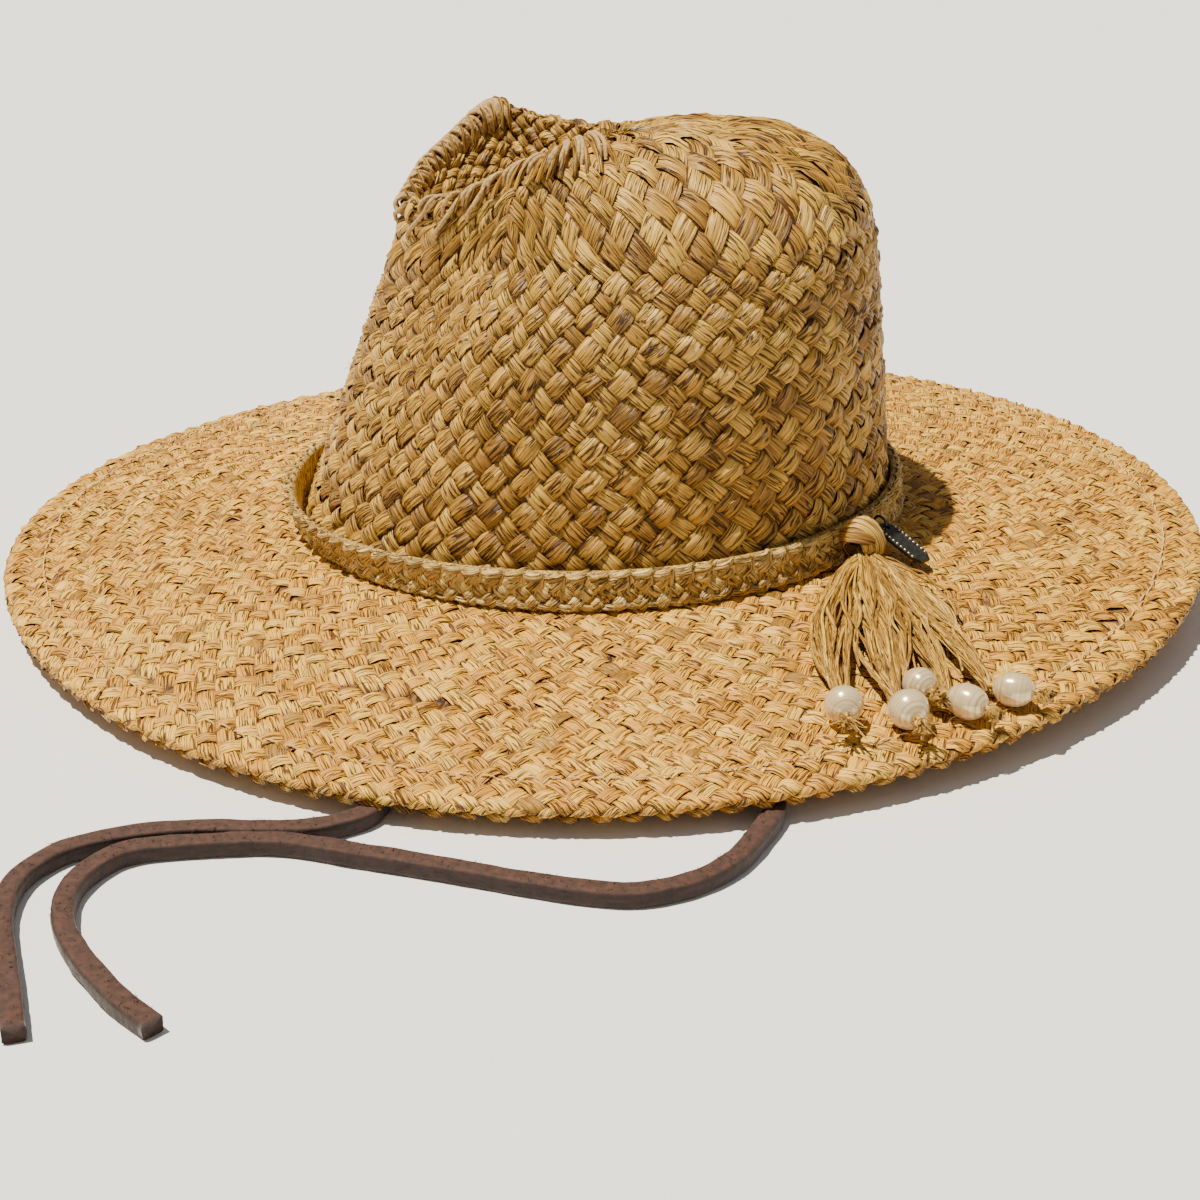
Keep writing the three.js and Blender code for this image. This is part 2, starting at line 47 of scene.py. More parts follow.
CREASE_DEPTH, DENT_DEPTH, SHOULDER_SAG = 31.0, 7.0, 9.0
CREASE_FOOT = -0.125  # where the crease ends along the crown, as a share of its length
STRAW = 2.0
REST_TILT = math.radians(0.55)
UP = np.array([0, 0, 1.0])
CREST = np.array([
    # angle, x, y, z, lean, roundness, dent, rise
    (-90, 0, -0.3359, 0.826, 1.03, 3, 0, 0),
    (-74, 0.1355, -0.276, 0.876, 0.93, 3.5, 0.2, 0),
    (-60, 0.179, -0.224, 0.92, 0.83, 4, 0.8, 0),
    (-48, 0.2048, -0.1719, 0.968, 0.66, 4.5, 0.9, 0),
    (-38, 0.2108, -0.138, 0.9896, 0.5, 5, 1, 0),
    (-20, 0.1548, -0.0989, 0.9912, 0.41, 5.4, 0.6, 0),
    (-2, 0.1006, -0.0562, 0.9896, 0.31, 6, 0.35, 0.008),
    (16, 0.0512, -0.0156, 0.9824, 0.21, 7.6, 0.1, 0.012),
    (36, 0.012, 0.0163, 0.9755, 0.12, 9.6, 0, 0.022),
    (60, 0.006, 0.0245, 0.976, 0.12, 12.5, 0, 0.026),
    (90, 0, 0.0286, 0.976, 0.14, 15, 0, 0.028)])


def base_xy(th, grow=0.0):
    return (CROWN_WIDTH / 2 + grow) * np.cos(th), CROWN_BACKSET + (CROWN_LENGTH / 2 + grow) * np.sin(th)


def crest_at(th):
    """Values of CREST at an angle, mirrored to the other side, with its lengths in millimetres."""
    d = np.degrees(np.arctan2(np.sin(th), np.cos(th)))
    side = np.where(np.abs(d) <= 90, 1.0, -1.0)
    q = np.where(np.abs(d) <= 90, d, np.where(d > 0, 180 - d, -180 - d))
    c = [np.interp(q, CREST[:, 0], CREST[:, k]) for k in range(1, 8)]
    return (c[0] * CROWN_WIDTH * side, c[1] * CROWN_LENGTH,
            BRIM_DROP + c[2] * CROWN_RISE, c[3], c[4], c[5] * DENT_DEPTH, c[6] * CROWN_RISE)


def shoulder_sag(x, y, h):
    """How far the right shoulder of the top sags behind the crease."""
    side = np.clip(-x / (0.27 * CROWN_WIDTH), 0, 1)
    begin = np.clip(y / CROWN_LENGTH / 0.13 + 1, 0, 1)
    end = 1 - 0.5 * np.clip((y / CROWN_LENGTH - 0.156) / 0.26, 0, 1)
    return SHOULDER_SAG * side ** 2 * (3 - 2 * side) * begin * end * h ** 3


def crown_skin(th, v):
    """Outer face of the crown, v 0 at the brim, 1 at the crest, 2 at the foot of the crease."""
    cx, cy, cz, lean, rnd, dent, rise = crest_at(th)
    bx, by = base_xy(th)
    h = np.clip(v, 0, 1)
    dome = 1 - np.sqrt(np.maximum(0, 1 - h ** rnd))
    g = lean * h + (1 - lean) * dome
    x, y = bx + (cx - bx) * g, by + (cy - by) * g
    r = np.hypot(x, y) + 1e-9
    dd = dent * np.exp(-((h - 0.8) / 0.13) ** 2)
    z = BRIM_DROP + (cz - BRIM_DROP) * h + rise * np.sin(np.pi * np.clip(g, 0, 1))
    z = z - shoulder_sag(x, y, h)
    x, y = x - dd * x / r, y - dd * y / r
    s = np.clip(v - 1, 0, 1)
    fall = 1 - (1 - s) ** 2.4
    inx, iny = cx * (1 - s), cy + (CREASE_FOOT * CROWN_LENGTH - cy) * s
    inz = cz + (BRIM_DROP + CROWN_RISE - CREASE_DEPTH - cz) * fall - shoulder_sag(inx, iny, 1)
    inner = v > 1
    return np.stack([np.where(inner, inx, x), np.where(inner, iny, y),
                     np.where(inner, inz, z) + 0.3], -1)


def rim_at(th):
    k = 1 - 0.006 * np.cos(th) - 0.003 * np.sin(th) - 0.004 * np.sin(4 * th)
    z = (1.4 * np.cos(th) + 2.5 * np.sin(th) - 2.7 * np.cos(2 * th)
         + 0.3 * np.sin(2 * th) + 0.36 * np.sin(3 * th))
    return np.stack([BRIM_WIDTH / 2 * np.cos(th) * k, BRIM_LENGTH / 2 * np.sin(th) * k, z], -1)


def brim_top(th, t):
    r = rim_at(th)
    bx, by = base_xy(th)
    z = BRIM_DROP + (r[..., 2] - BRIM_DROP) * np.sign(t) * np.abs(t) ** 1.3
    return np.stack([bx + (r[..., 0] - bx) * t, by + (r[..., 1] - by) * t, z], -1)


EDGE_IN, EDGE_HALF, BRIM_SPAN = 3.2, 1.35, 97.0
T_EDGE = 1 - EDGE_IN / BRIM_SPAN
T_TURN = math.pi * math.sqrt((EDGE_IN ** 2 + EDGE_HALF ** 2) / 2) / BRIM_SPAN


def brim_face(th, t):
    """The brim's top face, carried on round its edge and a little way back below."""
    th, t = np.broadcast_arrays(th, t)
    flat = brim_top(th, np.minimum(t, T_EDGE))
    out = (brim_top(th, np.ones_like(t)) - brim_top(th, np.full_like(t, 0.9))) * np.array([1, 1, 0])
    out = out / np.linalg.norm(out, axis=-1, keepdims=True)
    phi = np.pi * np.clip((t - T_EDGE) / T_TURN, 0, 1)
    back = np.maximum(t - T_EDGE - T_TURN, 0) * BRIM_SPAN
    drop = EDGE_HALF * (np.cos(phi) - 1)
    return flat + out * (EDGE_IN * np.sin(phi) - back)[..., None] + drop[..., None] * UP


def brim_height(x, y):
    """Height of the brim's top face over points of the plan."""
    th = np.arctan2(np.asarray(y) / CROWN_LENGTH, np.asarray(x) / CROWN_WIDTH)
    for _ in range(4):
        r = rim_at(th)
        bx, by = base_xy(th)
        ex, ey = r[..., 0] - bx, r[..., 1] - by
        t = ((x - bx) * ex + (y - by) * ey) / (ex ** 2 + ey ** 2)
        p = brim_top(th, t)
        th = th + (-(x - p[..., 0]) * np.sin(th) + (y - p[..., 1]) * np.cos(th)) / np.hypot(x, y)
    return p[..., 2]


def rolled(p):
    """Points turned about the Y axis, as the hat rests."""
    c, s = math.cos(REST_TILT), math.sin(REST_TILT)
    p = np.asarray(p, float)
    return np.stack([c * p[..., 0] - s * p[..., 2], p[..., 1], s * p[..., 0] + c * p[..., 2]], -1)


# Where the CAD's hat lies: rolled by REST_TILT, the brim's box centred over the origin, its foot at 0
CAD_ANGLES = np.arange(80) * 2 * np.pi / 80
rim_ring = rolled(rim_at(CAD_ANGLES) - UP)
rim_under = rolled(brim_top(CAD_ANGLES, np.full(80, 0.985)) - np.array([0, 0, 2.7]))
both = np.concatenate([rim_ring, rim_under])
SHIFT = np.array([-(both[:, 0].min() + both[:, 0].max()) / 2,
                  -(both[:, 1].min() + both[:, 1].max()) / 2, -both[:, 2].min()])


def settle(p):
    """Hat frame in millimetres to the row frame in metres."""
    return (rolled(p) + SHIFT) * 0.001


# Mesh helpers
def unit(v):
    return v / (np.linalg.norm(v, axis=-1, keepdims=True) + 1e-12)


def placed(name, data):
    obj = bpy.data.objects.new(name, data)
    bpy.context.scene.collection.objects.link(obj)
    return obj


def make_object(name, verts, faces, uv, tone, shade):
    verts = np.asarray(verts, np.float32)
    faces = np.asarray(faces, np.int32)
    mesh = bpy.data.meshes.new(name)
    mesh.vertices.add(len(verts))
    mesh.vertices.foreach_set("co", verts.ravel())
    k = faces.shape[1]
    mesh.loops.add(faces.size)
    mesh.loops.foreach_set("vertex_index", faces.ravel())
    mesh.polygons.add(len(faces))
    mesh.polygons.foreach_set("loop_start", np.arange(0, faces.size, k, dtype=np.int32))
    mesh.update(calc_edges=True)
    mesh.validate()
    layer = mesh.uv_layers.new(name="Strip")
    layer.data.foreach_set("uv", np.asarray(uv, np.float32)[faces.ravel()].ravel())
    for label, values in (("tone", tone), ("shade", shade)):
        att = mesh.attributes.new(label, "FLOAT", "POINT")
        att.data.foreach_set("value", np.asarray(values, np.float32))
    mesh.polygons.foreach_set("use_smooth", np.full(len(faces), True))
    return placed(name, mesh)


class Pile:
    """Gathers many small grids into one mesh."""

    def __init__(self):
        self.v, self.f, self.uv, self.tone, self.shade, self.n = [], [], [], [], [], 0

    def grids(self, P, uv, tone, wrap_u=False):
        """P is (count, rows, columns, 3); quads between neighbours, flipped to face out by the caller."""
        c, a, b, _ = P.shape
        i = np.arange(a * b).reshape(a, b)
        j = np.concatenate([i, i[:, :1]], 1) if wrap_u else i
        q = np.stack([j[:-1, :-1], j[:-1, 1:], j[1:, 1:], j[1:, :-1]], -1).reshape(-1, 4)
        f = (q[None] + (np.arange(c) * a * b)[:, None, None]).reshape(-1, 4) + self.n
        self.v.append(P.reshape(-1, 3))
        self.f.append(f)
        self.uv.append(np.broadcast_to(uv, (c, a, b, 2)).reshape(-1, 2))
        self.tone.append(np.broadcast_to(np.asarray(tone).reshape(c, 1, 1), (c, a, b)).ravel())
        # painted shade: flat patches darken towards the ends, where they dive under their neighbours, and a
        # little at their sides
        ra, rb = np.linspace(-1, 1, a)[:, None], np.linspace(-1, 1, b)[None, :]
        painted_end_shade = np.ones((a, b)) if wrap_u else (1 - 0.9 * np.abs(ra) ** 3) * (1 - 0.45 * np.abs(rb) ** 5)
        self.shade.append(np.broadcast_to(painted_end_shade, (c, a, b)).ravel())
        self.n += c * a * b
        return self

    def build(self, name):
        v, f = np.concatenate(self.v), np.concatenate(self.f)
        return make_object(name, v, f, np.concatenate(self.uv), np.concatenate(self.tone),
                           np.concatenate(self.shade))


def bake_cells(obj, per):
    """One square of the atlas for each of the equal patches of 'per' faces."""
    mesh = obj.data
    n = len(mesh.polygons) // per
    side = int(math.ceil(math.sqrt(n)))
    strip = mesh.uv_layers["Strip"]
    uv = np.zeros(len(mesh.loops) * 2, np.float32)
    strip.data.foreach_get("uv", uv)
    uv = uv.reshape(n, -1, 2)
    lo, hi = uv.min(1, keepdims=True), uv.max(1, keepdims=True)
    local = (uv - lo) / np.maximum(hi - lo, 1e-6) * 0.88 + 0.06
    k = np.arange(n)
    cell = np.stack([k % side, k // side], -1)[:, None, :]
    layer = mesh.uv_layers.new(name="OFBake")
    layer.data.foreach_set("uv", ((cell + local) / side).astype(np.float32).ravel())
    return obj


JITTER = 0.05  # of a pitch
FAT_WAY = 0  # the direction whose strips are wider


def lattice_normal(F, U, W):
    e = 0.02
    return unit(np.cross(F(U + e, W) - F(U - e, W), F(U, W + e) - F(U, W - e)))


def weave(F, centre, along, lift, out, na, nb, seed, width=0.93, over=0.3, arch=0.35, fat=None):
    """Floats of a plain weave. F maps two lattice coordinates to a point, and centre and along are (n, 2),
    along being one pitch along each float. Gives points (n, na+1, nb+1, 3) and their uv and tone."""
    r = np.random.default_rng(seed)
    n = len(centre)
    a = np.linspace(-1, 1, na + 1)[None, :, None]
    b = np.linspace(-1, 1, nb + 1)[None, None, :]
    across = np.stack([along[:, 1], -along[:, 0]], -1)
    fat = np.zeros(n) if fat is None else np.asarray(fat, float)
    w = width * (0.92 + 0.2 * fat) * (1 + r.normal(0, 0.07, n))
    ln = 0.5 + over - 0.03 * fat + r.normal(0, 0.03, n)
    c = centre + (along * r.normal(0, JITTER, (n, 1)) + across * r.normal(0, JITTER, (n, 1))) * 0.6
    skew = r.normal(0, 0.05, n)[:, None, None]
    ta = (ln[:, None, None] * a) * np.ones_like(b)
    tb = 0.5 * w[:, None, None] * b * (1 - 0.1 * a ** 2) + skew * a
    U = c[:, 0, None, None] + along[:, 0, None, None] * ta + across[:, 0, None, None] * tb
    W = c[:, 1, None, None] + along[:, 1, None, None] * ta + across[:, 1, None, None] * tb
    P = F(U, W)
    N = lattice_normal(F, U, W)
    wave = np.tanh(1.7 * np.cos(np.pi * ta)) / math.tanh(1.7)
    h = lift * (wave - 0.3) * (1 + r.normal(0, 0.12, n))[:, None, None]
    groove = np.abs(r.normal(0, 1, (n, 1, nb + 1))) * (0.16 + 0.2 * fat)[:, None, None]
    groove[..., 0] = groove[..., -1] = 0.1
    crease = r.normal(0, 1, (n, na + 1, nb + 1)) * (0.05 + 0.17 * fat)[:, None, None]
    arched = (arch * (0.8 + 0.7 * fat))[:, None, None] * (1 - np.abs(b) ** 2.6) ** 0.75
    arched = arched - groove * (1 - 0.3 * a ** 2) + crease * (1 - a ** 4)
    P = P + N * (out * (h + arched))[..., None]
    across_uv = np.broadcast_to(b * 0.5 + 0.5, U.shape) + np.floor(r.random(n) * 900)[:, None, None] * 1.37
    uv = np.stack([across_uv, ta + r.random(n)[:, None, None] * 60], -1)
    return P, uv, r.random(n)


# Lattice of the crown: cylinder sides and a folded square on top
ROUND = 54
V_TOP = 0.8
SIDE = ROUND / 4
TOP_CELLS = int(2 * SIDE) + 1
TURN = math.radians(48)


def mean_profile():
    v = np.concatenate([np.linspace(0, 1, 241), np.linspace(1, 2, 121)[1:]])
    th = np.linspace(0, 2 * np.pi, 361)
    P = crown_skin(th[None, :], v[:, None])
    ds = np.linalg.norm(np.diff(P, axis=0), axis=-1).mean(1)
    per = np.linalg.norm(np.diff(P, axis=1), axis=-1).sum(1)
    return v, np.concatenate([[0], np.cumsum(ds)]), per


# v, the way up the skin and the length round it, along the crown's mean profile
PV, PS, PP = mean_profile()
inside = PV <= V_TOP + 1e-9
DW = np.diff(PS[inside]) / ((PP[inside][1:] + PP[inside][:-1]) / 2 / ROUND)
PW = np.concatenate([[0], np.cumsum(DW)])
W_SPAN = PW[-1]
S_TOP = PS[inside][-1]


def crown_map(U, W):
    """Lattice to the crown's side. W is 0 at the edge of the top's square and negative below it."""
    th = TURN + 2 * np.pi * U / ROUND
    v = np.interp(W_SPAN + W, PW, PV[inside])
    v = np.where(W < -W_SPAN, -0.0, v)
    P = crown_skin(th, v)
    low = np.minimum(0, W_SPAN + W) * PP[0] / ROUND
    return P + np.stack([0 * low, 0 * low, low], -1)


def top_map(X, Y):
    """Lattice to the crown's top, a square whose edge is wound round the top of the side."""
    half = SIDE / 2
    rho = np.maximum(np.abs(X), np.abs(Y)) / half
    rr = np.maximum(rho * half, 1e-6)
    south = (Y <= -np.abs(X))
    east = (X > np.abs(Y)) | ((X >= np.abs(Y)) & ~south)
    north = (Y >= np.abs(X)) & ~south & ~east
    u = np.where(south, X / rr, np.where(east, 2 + Y / rr, np.where(north, 4 - X / rr, 6 - Y / rr)))
    th = TURN + 2 * np.pi * (u * half + half) / ROUND
    s = S_TOP + (PS[-1] - S_TOP) * (1 - np.clip(rho, 0, 1))
    v_in = np.interp(s, PS, PV)
    over = np.maximum(rho - 1, 0) * half
    v_out = np.interp(W_SPAN - over, PW, PV[inside])
    return crown_skin(th, np.where(rho <= 1, v_in, v_out))


def crown_cells():
    rows = int(np.ceil(W_SPAN * 2)) + 1
    side = [(a / 2, -b / 2, a % 2) for b in range(1, rows + 1) for a in range(2 * ROUND) if (a + b) % 2 == 0
            and b / 2 <= W_SPAN - 0.1]
    top = [(a / 2 - SIDE / 2, b / 2 - SIDE / 2, a % 2) for a in range(TOP_CELLS) for b in range(TOP_CELLS)
           if (a + b) % 2 == 0]
    return np.array(side), np.array(top)


def directions(parity):
    return np.where(parity[:, None] == 0, np.array([[0.5, 0.5]]), np.array([[0.5, -0.5]]))


def ring_lattice(face, t0, t1, count):
    """A diagonal lattice round a ring of the surface face(angle, t). Gives its map and its cells with their
    angle and t."""
    th = np.linspace(0, 2 * np.pi, 361)
    t = np.linspace(t0, t1, 80)
    P = face(th[None, :], t[:, None])
    per = np.linalg.norm(np.diff(P, axis=1), axis=-1).sum(1) / count
    ds = np.linalg.norm(np.diff(P, axis=0), axis=-1).mean(1)
    Wt = np.concatenate([[0], np.cumsum(ds / ((per[1:] + per[:-1]) / 2))])
    cells = np.array([(a / 2, b / 2, a % 2) for b in range(int(Wt[-1] * 2)) for a in range(2 * count)
                      if (a + b) % 2 == 0])

    def F(U, W):
        return face(2 * np.pi * U / count, np.interp(W, Wt, t))

    return F, cells, 2 * np.pi * cells[:, 0] / count, np.interp(cells[:, 1], Wt, t)


CROWN_LIFT, CROWN_ARCH = 0.95, 0.62
CREASE_RINGS = [(1.0, 1.42, 34), (1.36, 1.97, 20)]


def crown_piece(name, out, depth, na, nb, seed):
    """The crown's weave: out is 1 for its outer face, or -1 for a face pushed in by depth."""
    side, top = crown_cells()
    pile = Pile()
    # the square's middle, which lies in the crease, gives way to rings of smaller strips
    rho = np.abs(top[:, :2]).max(1) / (SIDE / 2)
    top = top[np.interp(S_TOP + (PS[-1] - S_TOP) * (1 - np.clip(rho, 0, 1)), PS, PV) < 1.03]
    jobs = [(side, crown_map, seed), (top, top_map, seed + 1)]
    for k, (v0, v1, count) in enumerate(CREASE_RINGS):
        fn, cells, _, v = ring_lattice(crown_skin, v0, v1, count)
        jobs.append((cells[v < v1 - 0.02], fn, seed + 2 + k))
    for cells, fn, sd in jobs:
        P, uv, tone = weave(fn, cells[:, :2], directions(cells[:, 2]), CROWN_LIFT, 1.0, na, nb, sd,
                            arch=CROWN_ARCH, fat=cells[:, 2] == FAT_WAY)
        if depth:
            # inner face: the same lattice, pushed in along the skin's normal
            P = P - lattice_normal(fn, cells[:, 0], cells[:, 1])[:, None, None, :] * depth
        if out < 0:
            P = P[:, :, ::-1]
            uv = uv[:, :, ::-1]
        pile.grids(settle(P), uv, tone)
    return bake_cells(pile.build(name), na * nb)


# Lattice of the brim: rings that gain strips outwards
FLOOR_GAP = 0.0001  # metres
BRIM_LIFT, BRIM_ARCH = 0.62, 0.42
BRIM_ZONES = [(-0.04, 0.27, 82), (0.27, 0.54, 102), (0.54, 0.8, 122), (0.8, 1.1, 138)]


def zone_edge(th, t, k):
    return t + 0.022 * np.sin(3 * th + 1.7 * k) + 0.018 * np.sin(7 * th + 2.9 * k)


def brim_piece(name, out, drop, na, nb, seed):
    """The brim's weave: out is 1 for its top face, or -1 for its underside, lowered by drop."""
    pile = Pile()
    for k, (t0, t1, count) in enumerate(BRIM_ZONES):
        if out < 0 and k == 3:
            t1 = 0.985

        def face(th, t):
            return brim_face(th, t) - np.array([0, 0, drop])

        F, cells, a, tt = ring_lattice(face, t0 - 0.06, t1 + 0.06, count)
        lo = zone_edge(a, t0, k) if k else np.full(len(a), t0)
        hi = zone_edge(a, t1, k + 1) if k < 3 else np.full(len(a), t1)
        margin = 0.02 if k else 0.0
        keep = (tt >= lo - margin) & (tt < hi + (0.008 if k < 3 else 0.0))
        cells = cells[keep]
        P, uv, tone = weave(F, cells[:, :2], directions(cells[:, 2]), BRIM_LIFT, -out, na, nb, seed + k,
                            arch=BRIM_ARCH, fat=cells[:, 2] == FAT_WAY)
        if out > 0:
            P = P[:, :, ::-1]
            uv = uv[:, :, ::-1]
        P = settle(P)
        P[..., 2] = np.maximum(P[..., 2], FLOOR_GAP)
        pile.grids(P, uv, tone)
    return bake_cells(pile.build(name), na * nb)


def sheet_piece(name, rows):
    """A grid of rows (r, c, 3) in the row frame, closed round."""
    pile = Pile()
    P = np.asarray(rows)[None]
    a, b = P.shape[1:3]
    u, v = np.meshgrid(np.linspace(0, 60, b), np.linspace(0, 20, a))
    pile.grids(P, np.stack([u, v], -1)[None], np.full(1, 0.2), wrap_u=True)
    return pile.build(name)


# Materials
def feed(nt, made, inputs):
    """Sets the node's inputs to values, or links them to the outputs of other nodes."""
    for key, value in inputs.items():
        if isinstance(value, bpy.types.NodeSocket):
            nt.links.new(value, made.inputs[key])
        else:
            made.inputs[key].default_value = value
    return made


def node(nt, kind, inputs, **settings):
    made = nt.nodes.new("ShaderNode" + kind)
    for key, value in settings.items():
        setattr(made, key, value)
    return feed(nt, made, inputs)


def node_material(name):
    m = bpy.data.materials.new(name)
    m.use_nodes = True
    nt = m.node_tree
    for n in list(nt.nodes):
        nt.nodes.remove(n)
    out = node(nt, "OutputMaterial", {})
    bsdf = node(nt, "BsdfPrincipled", {})
    nt.links.new(bsdf.outputs[0], out.inputs[0])
    return m, nt, bsdf


def ramp(nt, stops, src):
    r = node(nt, "ValToRGB", {0: src})
    el = r.color_ramp.elements
    while len(el) < len(stops):
        el.new(0.5)
    for e, (p, c) in zip(el, stops):
        e.position = p
        e.color = (*c, 1)
    return r.outputs[0]


def maths(nt, operation, *values):
    return node(nt, "Math", dict(enumerate(values)), operation=operation).outputs[0]


def blend(nt, factor, a, b, kind="MIX"):
    return node(nt, "Mix", {"Factor": factor, 6: a, 7: b}, data_type="RGBA", blend_type=kind).outputs[2]


def bumped(nt, height, strength, distance):
    return node(nt, "Bump", {"Strength": strength, "Distance": distance, "Height": height}).outputs[0]


def strip_noise(nt, scale, detail, **more):
    """Noise stretched along the strips, whose coordinates are the map named Strip."""
    uv = node(nt, "UVMap", {}, uv_map="Strip").outputs[0]
    vector = node(nt, "Mapping", {0: uv, "Scale": scale}).outputs[0]
    return node(nt, "TexNoise", {0: vector, "Scale": 1.0, "Detail": detail, **more}).outputs[0]


def grain(nt, scale, detail):
    """Noise in the object's own space."""
    place = node(nt, "TexCoord", {}).outputs["Object"]
    return node(nt, "TexNoise", {0: place, "Scale": scale, "Detail": detail}).outputs[0]


def attribute(nt, name):
    return node(nt, "Attribute", {}, attribute_name=name).outputs["Fac"]


# painted shade: the dark colour of the grooves between strands
PAINTED_GROOVE_SHADE = (0.14, 0.075, 0.03)


def straw(name, dark, mid, light, rough=0.62, bump=0.5):
    """Raffia: fibres along each strip, a tone for each strip, some brown strips, painted shade in the grooves
    between strands and painted shade at the strips' ends.
    """
    m, nt, bsdf = node_material(name)
    tone = attribute(nt, "tone")
    fibre = strip_noise(nt, (9.0, 0.55, 1.0), 3.0, Roughness=0.62)
    strand = strip_noise(nt, (3.6, 0.25, 1.0), 1.0, Distortion=0.6)
    line = strip_noise(nt, (6.5, 0.45, 1.0), 1.0, Distortion=0.5)
    level = maths(nt, "SUBTRACT", maths(nt, "MULTIPLY_ADD", tone, 0.42, fibre), 0.21)
    base = ramp(nt, [(0.22, dark), (0.45, mid), (0.72, light)], level)
    # painted shade: dark lines in the grooves between strands; the same lines also deepen the bump
    groove_shade = ramp(nt, [(0.455, (1, 1, 1)), (0.49, PAINTED_GROOVE_SHADE), (0.51, PAINTED_GROOVE_SHADE), (0.545, (1, 1, 1))], line)
    base = blend(nt, 1.0, base, groove_shade, "MULTIPLY")
    base = blend(nt, ramp(nt, [(0.965, (0, 0, 0)), (0.985, (1, 1, 1))], tone), base, (*BROWN, 1))
    # painted shade: the colour darkens where the shade attribute falls, towards the strips' ends and sides
    ends = ramp(nt, [(0.0, (0.12, 0.06, 0.03)), (0.3, (0.55, 0.46, 0.36)), (0.8, (1, 1, 1))],
                attribute(nt, "shade"))
    height = maths(nt, "MULTIPLY_ADD", groove_shade, 1.8, maths(nt, "MULTIPLY_ADD", strand, 1.6, fibre))
    feed(nt, bsdf, {"Base Color": blend(nt, 1.0, base, ends, "MULTIPLY"), "Roughness": rough,
                    "Specular IOR Level": 0.45, "Normal": bumped(nt, height, bump, 0.0009)})
    return m


def grained(name, colours, scale, strength, rough, metal):
    """A material of two colours in fine grain."""
    m, nt, bsdf = node_material(name)
    noise = grain(nt, scale, 4.0)
    feed(nt, bsdf, {"Base Color": ramp(nt, [(0.35, colours[0]), (0.65, colours[1])], noise),
                    "Normal": bumped(nt, noise, strength, 0.0004), "Roughness": rough, "Metallic": metal})
    return m


def nacre():
    m, nt, bsdf = node_material("nacre")
    noise = strip_noise(nt, (0.5, 19.0, 1.0), 2.0)
    rings = ramp(nt, [(0.28, (0.42, 0.27, 0.11)), (0.42, (0.72, 0.54, 0.28)), (0.7, (0.90, 0.75, 0.45))],
                 noise)
    feed(nt, bsdf, {"Base Color": rings, "Normal": bumped(nt, noise, 0.25, 0.0003), "Roughness": 0.22,
                    "Metallic": 0.35, "Coat Weight": 0.5, "Coat Roughness": 0.08, "Sheen Weight": 0.15})
    return m


def leather():
    """Suede, whose sides are painted darker than its wide faces, as painted shade."""
    m, nt, bsdf = node_material("suede_leather")
    noise = grain(nt, 420, 5.0)
    face = ramp(nt, [(0.3, (0.024, 0.0075, 0.0035)), (0.7, (0.074, 0.026, 0.013))], noise)
    # painted shade: the darker colour for the lace's sides
    edge = ramp(nt, [(0.3, (0.012, 0.0035, 0.002)), (0.7, (0.032, 0.011, 0.007))], noise)
    feed(nt, bsdf, {"Base Color": blend(nt, attribute(nt, "tone"), edge, face), "Roughness": 0.78,
                    "Normal": bumped(nt, noise, 0.7, 0.0005), "Sheen Weight": 0.1, "Sheen Roughness": 0.5})
    return m


def put(obj, mat, nodes=()):
    obj.data.materials.clear()
    obj.data.materials.append(mat)
    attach(obj, "root")
    if nodes:
        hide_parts(*nodes)
    return obj


BROWN = (0.38, 0.185, 0.022)
CROWN_MAT = straw("crown_straw", (0.25, 0.115, 0.014), (0.52, 0.27, 0.032), (0.80, 0.49, 0.09), 0.45, 0.85)
BRIM_MAT = straw("brim_straw", (0.52, 0.235, 0.022), (0.80, 0.385, 0.036), (0.93, 0.57, 0.09), 0.48, 0.8)
BAND_MAT = straw("band_straw", (0.44, 0.26, 0.06), (0.74, 0.48, 0.12), (0.88, 0.66, 0.24), 0.45, 0.8)
# painted shade: a dark straw for the core sheets, seen through the gaps of the weaves
CORE_SHADE_MAT = straw("painted_shade_core_straw", (0.13, 0.055, 0.010), (0.20, 0.085, 0.014), (0.27, 0.12, 0.02))
TASSEL_MAT = straw("tassel_straw", (0.20, 0.088, 0.010), (0.56, 0.29, 0.035), (0.86, 0.56, 0.12), 0.42, 0.6)
TWINE_MAT = grained("twine", ((0.33, 0.19, 0.06), (0.60, 0.41, 0.17)), 1100, 0.9, 0.75, 0.0)
THREAD_MAT = grained("thread", ((0.60, 0.37, 0.13), (0.74, 0.54, 0.28)), 900, 0.3, 0.7, 0.0)
METAL = grained("aged_metal", ((0.004, 0.004, 0.003), (0.018, 0.018, 0.014)), 600, 0.8, 0.42, 0.1)
EDGE_METAL = grained("bright_metal", ((0.42, 0.38, 0.28), (0.6, 0.55, 0.42)), 400, 0.2, 0.28, 1.0)
NACRE = nacre()
LEATHER = leather()


# Crown and brim
CORE_ANGLES = (np.arange(160) * 2 * np.pi / 160)[None, :]


def crown_core():
    """A plain skin just behind the weave, from the brim over the crest into the crease."""
    v = np.concatenate([np.linspace(0, 1, 40), np.linspace(1.03, 1.96, 16)])[:, None]
    e = 0.01
    around = crown_skin(CORE_ANGLES + e, v) - crown_skin(CORE_ANGLES - e, v)
    upwards = crown_skin(CORE_ANGLES, np.minimum(v + e, 1.98)) - crown_skin(CORE_ANGLES, np.maximum(v - e, 0))
    outwards = unit(np.cross(around, upwards)) * 0.6
    return sheet_piece("crown_core", settle(crown_skin(CORE_ANGLES, v) - outwards))


def brim_core():
    t = np.linspace(-0.05, 0.985, 12)[:, None]
    return sheet_piece("brim_core", settle(brim_top(CORE_ANGLES, t) - np.array([0, 0, 0.5])))


